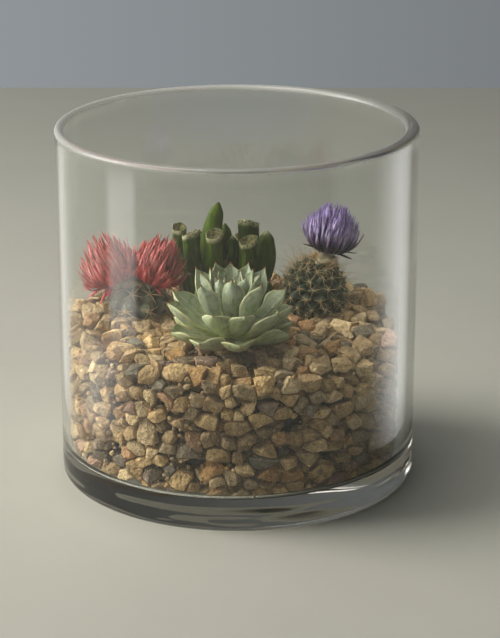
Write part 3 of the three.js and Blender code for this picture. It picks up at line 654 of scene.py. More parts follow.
def grains(middles, sizes, rng):
    """Small rough grains: the corners of an icosahedron, each at its own distance from the middle."""
    directions, faces = ball(0)
    turned = directions @ turns(len(middles), rng).transpose(0, 2, 1)
    at = sizes[:, None] * rng.uniform(0.65, 1.1, (len(middles), GRAIN_CORNERS))
    points = middles[:, None] + turned * at[..., None]
    return points, (faces + (np.arange(len(middles)) * GRAIN_CORNERS)[:, None, None]).reshape(-1, 3)


def fines(rng, in_joints=1500, at_feet=900, reach=67):
    """Middles and sizes of the grains: in the joints behind the glass and on the surface by the plants."""
    angle, inward = rng.uniform(0, 2 * np.pi, in_joints), STONE_REACH - rng.uniform(0.9, 4, in_joints)
    wall = np.stack([BORE_SHIFT + inward * np.cos(angle), inward * np.sin(angle),
                     STONE_FLOOR + 1 + 50 * rng.random(in_joints) ** 1.3], -1)
    which = rng.integers(0, len(FEET), at_feet)
    spot = FEET[which, :2] + rng.normal(0, 0.55, (at_feet, 2)) * FEET[which, 2:]
    spot = spot[np.hypot(spot[:, 0] - BORE_SHIFT, spot[:, 1]) < reach]
    top = np.column_stack([spot, surface_height(spot[:, 0], spot[:, 1]) - rng.uniform(0.5, 4, len(spot))])
    middles = np.concatenate([wall, top])
    return middles, rng.uniform(0.4, 1.15, len(middles)) * rng.choice([1, 1, 1, 1.5], len(middles))


rng = np.random.default_rng(21)
grain_points, grain_faces = grains(*fines(rng), rng)
own_numbers = {key: np.repeat(rng.random(len(grain_points)), GRAIN_CORNERS) for key in ("kind", "light")}
grit = piece("stone_fines", grain_points, corners=grain_faces, smooth=False, **own_numbers)

# %% [markdown]
# ## Stone
# The mix is sandstone and flint: mostly tan and cream, some grey and brown-grey, a little ochre and
# dusty pink. The stone's own number picks its colour; cloudy noise mottles it, fine grain and pits
# roughen it, and a pale dust clings to it in patches.

# %% Stone
STONE_KINDS = [  # where each kind lies between 0 and 1, and its colour
    (0.0, (198, 174, 134)), (0.14, (182, 156, 114)), (0.28, (222, 204, 168)), (0.4, (190, 164, 124)),
    (0.5, (144, 130, 108)), (0.6, (206, 180, 136)), (0.7, (116, 116, 110)), (0.79, (172, 142, 126)),
    (0.87, (198, 158, 102)), (0.94, (160, 146, 122)), (1.0, (216, 196, 160)),
]
stone = Finish("crushed_stone", Specular_IOR_Level=0.3)
base = stone.shades(stone.value("kind"), *[(at, linear(*colour)) for at, colour in STONE_KINDS])
lighter = stone.mix(stone.value("light"), (1.0, 0.91, 0.77, 1), (1.8, 1.64, 1.38, 1))
base = stone.mix(1.0, base, lighter, "MULTIPLY")
clouds = stone.band(stone.grain(3.2, 5), 0.36, 0.68)
base = stone.mix(clouds, stone.mix(1.0, base, (0.68, 0.64, 0.6, 1), "MULTIPLY"), base)
specks = stone.band(stone.grain(0.5, 3), 0.48, 0.68)
base = stone.over(base, linear(96, 78, 58), specks, 0.7)
dust = stone.band(stone.grain(1.4, 4), 0.55, 0.8)
stone.paint(stone.over(base, linear(226, 210, 180), dust, 0.5))
stone.rough(clouds, 0.72, 0.92)
stone.relief((stone.grain(2.2, 4), 1.0), (stone.grain(0.8, 4), 0.6), (stone.cells(1.3), 0.4))
for made in stone_pieces + [grit]:
    dress(made, stone.material, "gravel_bed")

# Painted shade: the heart of the bed is coloured near black for the shade deep among the stones, with a hint
# of stone in its lighter cells.
deep = Finish("deep_stone_painted_shade", Roughness=0.95, Specular_IOR_Level=0.1)
deep.paint(deep.mix(deep.band(deep.cells(7), 0.2, 0.75), linear(96, 80, 62), linear(28, 22, 17)))
deep.relief((deep.cells(7), 1.5), (deep.grain(1.2), 0.3))
dress(heart, deep.material, "gravel_bed")
print("stones dressed")

# %% [markdown]
# ## Potting soil
# Each plant still stands in the plug of soil from its nursery pot, sunk in the stones. The plugs are
# nearly hidden, so their solids stay as they are and get the finish only: dark peat with fibres and a
# few white grains of perlite.

# %% Potting soil
soil = Finish("potting_soil", Roughness=0.95, Specular_IOR_Level=0.15)
peat = soil.shades(
    soil.grain(1.6, 6), (0.3, linear(30, 22, 16)), (0.55, linear(62, 46, 33)), (0.75, linear(92, 70, 50)))
fibres = soil.band(soil.grain(0.8, 4, (1, 1, 5)), 0.62, 0.72)
peat = soil.over(peat, linear(122, 92, 62), fibres, 0.6)
perlite = soil.band(soil.cells(4.5), 0.2, 0.14)
soil.paint(soil.over(peat, linear(214, 210, 198), perlite))
soil.relief((soil.grain(2.4, 5), 1.2), (soil.grain(0.6, 3), 0.35))
for plant in ("rosette", "jade", "pincushion", "chin"):
    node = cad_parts[f"root_ball_{plant}"]
    node.data.materials.clear()
    node.data.materials.append(soil.material)
print("four plugs of soil")

# %% [markdown]
# ## The rosette
# The succulent in front has broad, spoon-shaped leaves in a spiral, each hollowed above, keeled below,
# and ending in a small sharp point. One leaf is a tube whose middle line is a curve in the upright plane
# of the leaf's direction, and whose ring is a flattened lens: half the width across, a little above and
# more below, with the edges lifted by the square of the distance from the midrib and slightly wavy.

# %% Rosette: where its leaves stand
ROSETTE = np.array([-2.0, -33.0, 66.0])
WHORLS = [  # reach, rise, spring, width, thickness, and the direction of each leaf (270 is the front)
    (26, 8.5, 2.2, 13.5, 2.6, [10, 58, 104, 156, 203, 243, 279, 334]),
    (26, 20, 4, 12, 2.6, [26, 84, 120, 154, 194, 316, 340]),
    (20, 19, 5, 11.5, 2.4, [245, 291]),
    (17.5, 30, 7, 10.4, 2.4, [33, 92, 145, 226, 312]),
    (12.5, 32, 9, 10, 2.2, [52, 120, 192, 272, 342]),
    (9.6, 31.5, 10, 7.6, 2.0, [20, 88, 156, 236, 308]),
    (7, 30.5, 11, 5.6, 1.8, [60, 130, 205, 280]),
    (4.2, 28.5, 14, 4, 1.5, [30, 130, 240, 335]),
]
rosette_leaves = np.array([(*whorl[:5], turn) for whorl in WHORLS for turn in whorl[5]])
print(len(rosette_leaves), "leaves in", len(WHORLS), "whorls")


# %% Rosette: its leaves
LEAF_ALONG = [0, 0.16, 0.34, 0.5, 0.64, 0.74, 0.83, 0.9, 0.945, 0.975, 1]
LEAF_WIDTH = [0.38, 0.45, 0.62, 0.82, 0.98, 1.02, 0.88, 0.58, 0.25, 0.1, 0.03]
LEAF_DEPTH = [0.9, 1.0, 1.0, 1.0, 1.0, 0.92, 0.78, 0.6, 0.42, 0.3, 0.1]


def leaf_surface(leaves, rng, rows=34, around=24):
    """Tubes for spoon-shaped leaves: a ring of the lens at each step of a quadratic curve outwards."""
    reach, rise, spring, width, thick, direction = leaves.T[..., None]
    s = 1 - (1 - np.linspace(0, 0.995, rows)) ** 1.5
    bend = spring + 0.3 * (rise - spring)
    r = (1 - s) ** 2 + 2 * s * (1 - s) * 0.66 * reach + s * s * reach
    z = (1 - s) ** 2 * spring + 2 * s * (1 - s) * bend + s * s * rise
    dr = 2 * (1 - s) * (0.66 * reach - 1) + 2 * s * 0.34 * reach
    dz = 2 * (1 - s) * (bend - spring) + 2 * s * (rise - bend)
    dr, dz = dr / np.hypot(dr, dz), dz / np.hypot(dr, dz)
    angle = np.radians(direction) + rng.normal(0, 0.012, reach.shape)
    angle = angle + rng.normal(0, 0.05, reach.shape) * s ** 2
    out = np.stack([np.cos(angle), np.sin(angle), 0 * angle], -1)
    across = np.stack([-np.sin(angle), np.cos(angle), 0 * angle], -1)
    up = np.stack([0 * dz, 0 * dz, dr], -1) - dz[..., None] * out
    wide = through(LEAF_ALONG, LEAF_WIDTH, s) * width * rng.uniform(0.95, 1.05, reach.shape)
    deep = through(LEAF_ALONG, LEAF_DEPTH, s) * thick
    theta = np.arange(around) / around * 2 * np.pi
    c, si = np.cos(theta), np.sin(theta)
    phase = rng.uniform(0, 6.28, (len(leaves), 1, 1))
    along = s[None, :, None]
    ripple = 0.36 * np.sin(along * 17 + phase + 2 * np.sign(c)) * c ** 6 * np.sin(np.pi * along)
    lens = si * deep[..., None] * np.where(si > 0, 0.2, 0.75)
    cup = c ** 2 * wide[..., None] * (0.12 + 0.18 * along ** 2)
    groove = 0.1 * deep[..., None] * np.exp(-(c / 0.16) ** 2) * (si > 0)
    lift = lens + cup + ripple - groove
    roll = rng.normal(0, 0.16, (len(leaves), 1, 1)) * along
    side = c * wide[..., None] / 2 * (1 + 0.06 * np.sin(along * 11 + phase * (1 + np.sign(c))))
    x, y = side * np.cos(roll) - lift * np.sin(roll), side * np.sin(roll) + lift * np.cos(roll)
    upright = np.array([0, 0, 1.0])
    middle = r[..., None] * out + z[..., None] * upright
    rings = middle[:, :, None] + x[..., None] * across[:, :, None] + y[..., None] * up[:, :, None]
    first = np.column_stack([0.4 * out[:, 0, :2], spring[:, 0]])
    tip = middle[:, -1] + 0.5 * (dr[:, -1:] * out[:, -1] + dz[:, -1:] * upright)
    return rings, first, tip, s, np.abs(c), (si > 0) * 1.0


rng = np.random.default_rng(4)
rings, first, tip, s, edge, upper = leaf_surface(rosette_leaves, rng)
tone = rng.random(len(rosette_leaves))
height_share = (rosette_leaves[:, 1] / rosette_leaves[:, 1].max())[:, None, None]
points, quads, corners = tubes(rings, first, tip)
rosette = piece(
    "rosette_leaves", points + ROSETTE, quads, corners,
    along=per_point(rings, s[None, :, None], 0, 1), edge=per_point(rings, edge, 0, 1),
    upper=per_point(rings, upper, 0, 1), tone=per_point(rings, tone[:, None, None], tone, tone),
    young=per_point(rings, height_share, height_share.ravel(), height_share.ravel()))


# %% Rosette and jade: their stems
def lathe(profile, around, lumps):
    """Rings of a turned shape: rows of (radius, height), with the radius waving a little round the axis."""
    profile = np.asarray(profile, float)
    angle = np.arange(around) / around * 2 * np.pi
    r = profile[:, :1] * (1 + lumps * np.sin(3 * angle + profile[:, 1:] * 0.7))
    return np.stack([r * np.cos(angle), r * np.sin(angle), np.broadcast_to(profile[:, 1:], r.shape)], -1)


def stem_piece(name, at, profile):
    """A short woody stem at a plant's foot, with the rings of old leaf scars."""
    heights = np.linspace(profile[0][1], profile[-1][1], 36)
    radii = through([z for _, z in profile], [r for r, _ in profile], heights)
    radii *= 1 + 0.05 * np.sin(heights * 2.1)
    rings = lathe(np.column_stack([np.maximum(radii, 0.3), heights]), 24, 0.04)[None]
    ends = np.array([[0, 0, heights[0]]]), np.array([[0, 0, heights[-1]]])
    points, quads, corners = tubes(rings, *ends)
    return piece(name, points + at, quads, corners)


rosette_stem = stem_piece(
    "rosette_stem", ROSETTE, [(0.4, -11), (2.6, -10), (3, 0), (4.2, 4), (3, 16), (0.4, 20)])

# %% [markdown]
# ## Rosette leaf
# The leaves are grey-green under a powdery bloom, yellower towards their feet, with a thin pale margin
# and a pinkish brown point. The bloom is a matt film: it lightens and greys the colour unevenly, and is
# rubbed off here and there. The mesh carries how far along and how near the edge each point lies.

# %% Rosette leaf
leaf = Finish("rosette_leaf", Subsurface_Weight=0.08, Subsurface_Scale=0.0012, Sheen_Weight=0.1,
              Sheen_Roughness=0.5, Specular_IOR_Level=0.35)
leaf.shader.inputs["Subsurface Radius"].default_value = (0.6, 1.0, 0.4)
flesh = leaf.shades(leaf.value("along"), (0.0, linear(204, 202, 98)), (0.4, linear(184, 186, 98)),
                    (0.72, linear(136, 148, 102)), (1.0, linear(146, 154, 108)))
flesh = leaf.over(flesh, linear(174, 176, 98), leaf.value("tone"), 0.6)
flesh = leaf.over(flesh, linear(140, 154, 106), leaf.value("upper"), 0.5)
flesh = leaf.over(flesh, linear(150, 168, 146), leaf.band(leaf.value("young"), 0.5, 1.0), 0.6)
veins = leaf.lengthwise(leaf.value("edge"), leaf.value("along"), leaf.value("tone"), 8.0)
flesh = leaf.over(flesh, linear(206, 206, 154), leaf.band(veins, 0.44, 0.64), 0.45)
blotches = leaf.band(leaf.grain(2.2, 5), 0.48, 0.68)
flesh = leaf.over(flesh, linear(98, 110, 68), blotches, 0.65)
film = leaf.band(leaf.grain(3.5, 5, (1, 1, 0.6)), 0.36, 0.62)
bloom = leaf.maths("MULTIPLY", film, leaf.slope(leaf.value("young"), 0.3, 1, 0.22, 0.62))
flesh = leaf.over(flesh, linear(198, 204, 180), bloom)
powder = leaf.band(leaf.grain(0.7, 3), 0.5, 0.7)
flesh = leaf.over(flesh, linear(186, 194, 166), powder, 0.25)
by_edge = leaf.band(leaf.value("edge"), 0.9, 0.98)
margin = leaf.maths("MULTIPLY", by_edge, leaf.band(leaf.value("along"), 0.15, 0.5))
flesh = leaf.over(flesh, linear(226, 220, 166), margin, 0.85)
point = leaf.band(leaf.value("along"), 0.965, 0.99)
leaf.paint(leaf.over(flesh, linear(188, 122, 70), point))
leaf.rough(film, 0.44, 0.66)
leaf.relief((leaf.grain(5, 3), 0.8), (veins, 0.18), (leaf.grain(1.4, 4), 0.16), (leaf.grain(0.5, 3), 0.05))
dress(rosette, leaf.material, "rosette_succulent")

bark = Finish("stem_bark", Roughness=0.85)
rings_of_bark = bark.grain(1.2, 4, (1, 1, 3))
bark.paint(bark.shades(rings_of_bark, (0.3, linear(92, 82, 52)), (0.7, linear(150, 140, 96))))
bark.relief((rings_of_bark, 0.4))
dress(rosette_stem, bark.material, "rosette_succulent")
print("rosette dressed")

# %% [markdown]
# ## The tube-leaved jade
# Behind the rosette stands a jade plant of the sort whose leaves are rolled into tubes and end like a
# sucker: a shallow cup with a thicker rim, cut at a slant. One tall leaf ends in a horn and some of the
# outer ones in a blunt paddle. Each leaf is a tube along a cubic curve that leaves the stem low down and
# soon stands upright. The rows of a cup run on over the rim and down into the hollow.

# %% Jade: its leaves
JADE = np.array([-4.0, 22.0, 66.0])
JADE_LEAVES = [  # tip from the foot, radius at the rim, length of the stalk, kind of end, sideways bow
    ((-20.5, 5, 32.2), 3.1, 27, "cup", 0), ((-15, -3.5, 32), 3.7, 28, "cup", 0),
    ((-3.2, 2.5, 44.3), 4.6, 38, "horn", -7.5), ((-5.2, -5.5, 32.2), 3.8, 28, "cup", 0),
    ((-0.6, 9, 33), 3.8, 26, "horn", 0), ((2.6, 1.5, 30), 3.6, 25, "paddle", 0),
    ((9.8, 4.5, 34.6), 4.6, 30, "cup", 0), ((9.4, -5.5, 29.4), 3.9, 26, "cup", 0),
    ((17.4, 0.5, 32.4), 4.7, 29, "paddle", 0), ((-16.2, -9, 16.5), 3.6, 13, "paddle", 0),
    ((17, -15, 15), 3.4, 13, "paddle", 0), ((-11, 14, 27), 3.3, 24, "cup", 0),
    ((7, 15, 26), 3.4, 23, "cup", 0), ((16, 11, 22), 3.2, 18, "paddle", 0),
    ((-19, 14, 18), 3.2, 15, "paddle", 0), ((0, 19, 18), 3.3, 14, "cup", 0),
]
JADE_ENDS = {  # stations along the leaf and the share of the full radius there
    "cup": ([0, 0.03, 0.25, 0.62, 0.93, 1], [0.3, 0.55, 0.92, 1.06, 0.98, 1]),
    "horn": ([0, 0.03, 0.34, 0.7, 0.9, 0.96, 1], [0.3, 0.5, 0.84, 1.0, 0.82, 0.58, 0.1]),
    "paddle": ([0, 0.03, 0.34, 0.66, 0.9, 0.96, 1], [0.3, 0.45, 0.82, 1, 0.82, 0.58, 0.08]),
}
CUP_SHARE = np.array([1.0, 0.99, 0.94, 0.85, 0.72, 0.48, 0.24])  # over the rim and down into the cup
CUP_SINK = np.array([-0.05, -0.12, -0.14, -0.08, 0.04, 0.14, 0.18])  # below the rim, as a share of its radius


def jade_leaf(tip, rim, length, end, bow, rng, rows=30, around=28):
    """Rings of one tubular leaf along its cubic curve, and for a cup on over its slanting rim."""
    top = np.array(tip, float)
    foot = max(top[2] - length, 1.0)
    knee = np.array([top[0] + bow, top[1], foot + 0.18 * (top[2] - foot)])
    hip = np.array([bow if bow else 0.6 * top[0], 0.6 * top[1], foot])
    start = np.array([0, 0, foot])
    hollow = end == "cup"
    if hollow:
        s = np.linspace(0.02, 1, rows)
        share = np.concatenate([through(*JADE_ENDS[end], s), CUP_SHARE])
        sink = np.concatenate([np.zeros(rows), CUP_SINK])
        within = np.concatenate([np.zeros(rows), np.linspace(0.3, 1, len(CUP_SHARE))])
        s = np.concatenate([s, np.ones(len(CUP_SHARE))])
    else:
        s = 1 - (1 - np.linspace(0.02, 0.995, rows + len(CUP_SHARE))) ** 1.4
        share = through(*JADE_ENDS[end], s)
        sink, within = np.zeros(len(s)), np.zeros(len(s))
    t = s[:, None]
    middle = (1 - t) ** 3 * start + 3 * t * (1 - t) ** 2 * hip + 3 * t * t * (1 - t) * knee + t ** 3 * top
    along = unit(3 * (1 - t) ** 2 * (hip - start) + 6 * t * (1 - t) * (knee - hip)
                 + 3 * t * t * (top - knee) + 1e-6)
    side = unit(np.cross([0, 1, 0], along))
    other = np.cross(along, side)
    theta = np.arange(around) / around * 2 * np.pi
    lean = rng.uniform(0, 2 * np.pi)
    near_top, at_rim = np.clip((t - 0.75) / 0.25, 0, 1), np.clip((t - 0.9) / 0.1, 0, 1)
    slant = (0.42 if hollow else 0.0) * rim * np.cos(theta - lean) * share[:, None] * near_top ** 2
    crinkle = 0.09 * np.sin(5 * theta + lean) * at_rim + 0.05 * np.sin(3 * theta - lean) * t * (1 - t) * 4
    bulge = 1 + 0.035 * np.sin(2 * theta + lean + 3 * t) + 0.02 * np.sin(13 * t + lean)
    swell = share[:, None] * rim * (bulge + crinkle)
    shift = slant - (sink * rim)[:, None]
    ring = (middle[:, None] + side[:, None] * (swell * np.cos(theta))[..., None]
            + other[:, None] * (0.86 * swell * np.sin(theta))[..., None] + along[:, None] * shift[..., None])
    last = top - along[-1] * 0.4 * rim if hollow else top
    return ring, start - (0, 0, 0.5), last, s, within


rng = np.random.default_rng(12)
made_leaves = [jade_leaf(*row, rng) for row in JADE_LEAVES]
rings, first, last, s, within = (np.stack([made[i] for made in made_leaves]) for i in range(5))
tone = rng.random(len(rings))
horned = np.array([row[3] == "horn" for row in JADE_LEAVES]) * 1.0
points, quads, corners = tubes(rings, first, last)
jade = piece("jade_leaves", points + JADE, quads, corners,
             along=per_point(rings, s[..., None], 0, 1),
             within=per_point(rings, within[..., None], 0, within[:, -1]),
             tone=per_point(rings, tone[:, None, None], tone, tone),
             horn=per_point(rings, horned[:, None, None], horned, horned))
jade_stem = stem_piece("jade_stem", JADE, [(0.4, -11), (3.4, -10), (4, 0), (4.4, 8), (3.2, 17), (0.4, 20)])

# %% [markdown]
# ## Jade leaf
# A waxy mid green, streaked lengthwise, partly painted: the raised streaks are paler, partly painted
# highlight, and the grooves between them darker, painted shade. It has faint paler dots where the skin
# breathes. The hollow ends are dull and mottled tan with a pale rim, and the horn is a clearer green with a
# slightly dried tip.

# %% Jade leaf
waxy = Finish("jade_leaf", Subsurface_Weight=0.1, Subsurface_Scale=0.0015, Specular_IOR_Level=0.13,
              Coat_Weight=0.02, Coat_Roughness=0.25)
waxy.shader.inputs["Subsurface Radius"].default_value = (0.5, 1.0, 0.3)
green = waxy.shades(waxy.value("along"), (0.0, linear(94, 96, 34)), (0.3, linear(70, 94, 8)),
                    (0.8, linear(72, 96, 6)), (1.0, linear(84, 94, 34)))
green = waxy.over(green, linear(50, 70, 12), waxy.value("tone"))
green = waxy.over(green, linear(76, 97, 4), waxy.value("horn"), 0.9)
green = waxy.over(green, linear(86, 102, 30), waxy.band(waxy.grain(4, 4), 0.4, 0.7), 0.3)
ridges_and_painted_shade = waxy.grain(1.8, 4, (1, 1, 0.22))
# Partly painted highlight on the raised streaks of the relief, and painted shade in the grooves between them.
green = waxy.over(green, linear(112, 134, 40), waxy.band(ridges_and_painted_shade, 0.52, 0.68), 0.5)
green = waxy.over(green, linear(28, 38, 10), waxy.band(ridges_and_painted_shade, 0.46, 0.3), 0.5)
dots = waxy.band(waxy.cells(0.9), 0.22, 0.1)
green = waxy.over(green, linear(140, 150, 90), dots, 0.2)
rim_inside = waxy.band(waxy.value("within"), 0.75, 0.35)
rim = waxy.maths("MULTIPLY", waxy.band(waxy.value("along"), 0.965, 1.0), rim_inside)
rim = waxy.maths("MULTIPLY", rim, waxy.maths("SUBTRACT", 1.0, waxy.value("horn")))
rim = waxy.maths("MULTIPLY", rim, waxy.band(waxy.grain(0.8, 3), 0.3, 0.52))
green = waxy.over(green, linear(192, 186, 144), rim)
withered = waxy.mix(waxy.band(waxy.grain(0.9, 4), 0.4, 0.62), linear(58, 58, 30), linear(132, 122, 82))
green = waxy.over(green, withered, waxy.band(waxy.value("within"), 0.3, 0.62), 0.9)
dried = waxy.maths("MULTIPLY", waxy.band(waxy.value("along"), 0.97, 1.04), waxy.value("horn"))
waxy.paint(waxy.over(green, linear(104, 76, 46), dried))
dull = waxy.maths("MULTIPLY", waxy.grain(3, 3), 0.4)
waxy.rough(waxy.maths("MAXIMUM", dull, waxy.value("within")), 0.42, 0.95)
waxy.relief((waxy.grain(4, 3), 0.3), (ridges_and_painted_shade, 0.25), (waxy.grain(0.5, 2), 0.03))
dress(jade, waxy.material, "tube_leaf_jade")
dress(jade_stem, bark.material, "tube_leaf_jade")
print("jade dressed")

# %% [markdown]
# ## The two cacti
# Both cacti are upright ellipsoids, flatter below their widest level. A point of the skin is given by
# its turn round the axis and its tilt from the foot over the widest level to the crown, and the relief
# sinks it along the skin's own normal.

# %% Cacti: the common form
LOWEST_TILT, WAIST = -58.0, 0.42


def cactus_skin(plant, tilt, turn, sunk=0.0):
    """Points and normals of an upright ellipsoid at a tilt and a turn in degrees, sunk along the normal."""
    a, b = np.radians(tilt), np.radians(turn)
    waist = WAIST * plant["height"]
    tall = np.where(tilt > 0, plant["height"] - waist, waist / math.sin(math.radians(-LOWEST_TILT)))
    r = plant["radius"]
    point = np.stack(np.broadcast_arrays(
        r * np.cos(a) * np.cos(b), r * np.cos(a) * np.sin(b), waist + tall * np.sin(a)), -1)
    normal = unit(np.stack(np.broadcast_arrays(
        np.cos(a) / r * np.cos(b), np.cos(a) / r * np.sin(b), np.sin(a) / tall), -1))
    return point - normal * np.asarray(sunk)[..., None], normal


def cactus_piece(name, plant, relief, rows, around):
    """The skin from the foot to the crown, closed at both ends.

    relief(tilt, turn) gives how deep the skin lies in mm, and a share that is 1 in the furrows, where the
    finish paints shade.
    """
    tilt = np.linspace(LOWEST_TILT, 88.5, rows)[:, None]
    turn = (np.arange(around) / around * 360)[None]
    tilt, turn = np.broadcast_arrays(tilt, turn)
    sunk, joint = relief(tilt, turn)
    rings, _ = cactus_skin(plant, tilt, turn, sunk)
    crown = rings[-1].mean(0) - (0, 0, 0.3)
    points, quads, corners = tubes(rings[None], np.array([[0, 0, 0.0]]), crown[None])
    return piece(name, points + plant["at"], quads, corners,
                 joint=per_point(rings[None], joint[None], joint[0, 0], joint[-1].mean()))


def thorns(starts, ways, lengths, radius, bend, rows=3, around=3):
    """Tapered spines: a line that bends sideways by the square of its share, in rings that thin out."""
    t = np.linspace(0, 0.9, rows)[None, :, None]
    ways = unit(ways)
    side = unit(np.cross(ways, (0.03, 0.02, 1.0)))
    line = starts[:, None] + ways[:, None] * t * lengths[:, None, None] + bend[:, None] * t * t
    tip = starts + ways * lengths[:, None] + bend
    along = unit(np.gradient(line, axis=1))
    across = unit(np.cross(side[:, None], along))
    theta = np.arange(around) / around * 2 * np.pi
    thick = np.asarray(radius) * (1 - 0.75 * t[..., 0]) * np.ones((len(starts), 1))
    rings = (line[:, :, None] + side[:, None, None] * (thick[..., None] * np.cos(theta))[..., None]
             + across[:, :, None] * (-thick[..., None] * np.sin(theta))[..., None])
    return rings, starts - ways * 0.3, tip, np.broadcast_to(t, (len(starts), rows, 1))


def around_normal(normal, lean, turn):
    """Directions that lean off a normal by some degrees, turned about it."""
    side = unit(np.cross((0, 0, 1.0), normal + (1e-4, 0, 0)))
    up = np.cross(normal, side)
    a, b = np.radians(lean)[..., None], np.radians(turn)[..., None]
    return normal * np.cos(a) + (side * np.cos(b) + up * np.sin(b)) * np.sin(a)


def spine_piece(name, plant, *thorn, **build):
    """All the spines of a cactus; see thorns() for what they need."""
    rings, first, tip, share = thorns(*thorn, **build)
    points, quads, corners = tubes(rings, first, tip)
    return piece(name, points + plant["at"], quads, corners, along=per_point(rings, share, 0, 1))


def wool_piece(name, plant, middles, size, rng):
    """A tuft of wool on each areole, as a rough grain."""
    points, faces = grains(middles, np.full(len(middles), size), rng)
    return piece(name, points + plant["at"], corners=faces)


print("each cactus is widest at", WAIST, "of its height")

# %% [markdown]
# ## The pincushion cactus
# Rows of tubercles wind round the body. Between two tubercles the skin is deepest, so the relief uses
# the distances to the nearest areole and to the second nearest: their share is 0 on a tubercle's tip and
# 1 halfway to its neighbour. Every areole has a star of pale spines and two stiffer ones.

# %% Pincushion: its areoles and body
PINCUSHION = {"at": np.array([33.8, 12.0, 62.5]), "height": 27.2, "radius": 14.9}
PER_ROW, ROWS, TOP_TILT, BARE_ABOVE = 14, 9, 84, 60
row, place = (a.ravel() for a in np.meshgrid(np.arange(ROWS), np.arange(PER_ROW), indexing="ij"))
areole_tilt = LOWEST_TILT + (TOP_TILT - LOWEST_TILT) * (row + 1) / ROWS
areole_turn = (place + row % 2 / 2 + row * 0.09) * 360 / PER_ROW
areole_tilt = areole_tilt + np.random.default_rng(8).normal(0, 1.6, row.size)
areole_turn = areole_turn + np.random.default_rng(9).normal(0, 2.4, row.size)
crowded_top = (areole_tilt > BARE_ABOVE) & (place % 2 == 1)
areole_tilt, areole_turn = areole_tilt[~crowded_top], areole_turn[~crowded_top]
areoles, areole_normals = cactus_skin(PINCUSHION, areole_tilt, areole_turn)


def tubercles(tilt, turn):
    """Depth below the tips, 2.5 mm times share ** 1.5, and the share: 0 on an areole, 1 at the border."""
    points, _ = cactus_skin(PINCUSHION, tilt, turn)
    away = np.linalg.norm(points.reshape(-1, 1, 3) - areoles[None], axis=-1)
    two = np.partition(away, 1, axis=1)[:, :2]
    share = (2 * two[:, 0] / two.sum(1)).reshape(tilt.shape)
    return 2.5 * share ** 1.5, share


rng = np.random.default_rng(31)
pincushion = cactus_piece("pincushion_body", PINCUSHION, tubercles, 110, 240)

# %% Pincushion: wool and spines
STAR_LEAN = np.array([74.0] * 6 + [25, 38])  # a flat star of six spines, and two that stand out
STAR_TURN = np.array([0.0, 60, 120, 180, 240, 300, 60, 200])
STAR_LENGTH = np.array([3.6] * 6 + [6.2, 7.6])
STAR, CROWN_TILT = len(STAR_LEAN), 48  # the spines above this tilt are half as long again
places = areoles + PINCUSHION["at"]
bare = places[:, 2] > surface_height(places[:, 0], places[:, 1]) - 1  # not sunk in the stones
kept, kept_normals = areoles[bare], areole_normals[bare]
lean = STAR_LEAN + rng.normal(0, 8, (len(kept), STAR))
spin = STAR_TURN + rng.uniform(0, 360, (len(kept), 1)) + rng.normal(0, 10, (len(kept), STAR))
ways = around_normal(kept_normals[:, None].repeat(STAR, 1), lean, spin).reshape(-1, 3)
lengths = STAR_LENGTH * rng.uniform(0.75, 1.2, (len(kept), STAR))
lengths = (lengths * (1 + 0.5 * (areole_tilt[bare, None] > CROWN_TILT))).ravel()
starts = kept.repeat(STAR, 0)
bend = rng.normal(0, 0.3, starts.shape)
pin_spines = spine_piece("pincushion_spines", PINCUSHION, starts, ways, lengths, 0.11, bend)
pin_wool = wool_piece("pincushion_wool", PINCUSHION, areoles - areole_normals * 0.1, 0.7, rng)

# %% [markdown]
# ## The chin cactus
# Its broad ribs are cut across into chins. Across the ribs the relief is a cosine of the turn, which
# creeps round as the ribs spiral; along them a second cosine lifts a chin under every areole. The few
# spines are long, curved and as thick as a bristle.

# %% Chin cactus: body
CHIN = {"at": np.array([-41.8, 10.0, 62.5]), "height": 18.5, "radius": 14.2}
RIBS, CHIN_STEP = 9, (78 - LOWEST_TILT) / 7


def chins(tilt, turn):
    """Depth from a cosine across each rib and, on the ribs, from a cosine along them between the chins."""
    level = (tilt - LOWEST_TILT) / CHIN_STEP
    across = (1 - np.cos(np.radians((turn - 4 * level) * RIBS))) / 2
    along = (1 - np.cos(np.pi * (level - 1))) / 2
    furrow = np.exp(-((level - 1) % 2 - 1) ** 2 / 0.05)
    return 2.5 * across ** 1.15 + (0.8 * along + 0.6 * furrow) * (1 - across), across


chin = cactus_piece("chin_body", CHIN, chins, 110, 216)

# %% Chin cactus: wool and spines
level, rib = (a.ravel() for a in np.meshgrid([1, 3, 5, 7], np.arange(RIBS), indexing="ij"))
chin_tilt, chin_turn = LOWEST_TILT + level * CHIN_STEP, rib * 360 / RIBS + level * 4.0
chin_areoles, chin_normals = cactus_skin(CHIN, chin_tilt, chin_turn)
shown = chin_tilt < 70
CLAWS = np.array([-150.0, -90, -30, 30, 90, 150])  # which way each spine of an areole points
turns_about = CLAWS + rng.normal(0, 12, (shown.sum(), len(CLAWS)))
leans = 58.0 + rng.normal(0, 9, turns_about.shape)
normals = chin_normals[shown].repeat(len(CLAWS), 0)
starts = chin_areoles[shown].repeat(len(CLAWS), 0) - normals * 0.2
ways = around_normal(normals, leans.ravel(), turns_about.ravel())
lengths = rng.uniform(4.5, 8.2, len(ways))
bend = -normals * rng.uniform(0.8, 2.2, (len(ways), 1))
chin_spines = spine_piece("chin_spines", CHIN, starts, ways, lengths, 0.18, bend, rows=6, around=5)
chin_wool = wool_piece("chin_wool", CHIN, chin_areoles - chin_normals * 0.3, 1.3, rng)

# %% [markdown]
# ## Cactus skin, wool and spines
# The skins are matt and slightly bloomed, darkened in the furrows by painted shade, and freckled with paler
# dots. Spines are horn: translucent straw to brown, darker at the tip. The wool is tan felt.

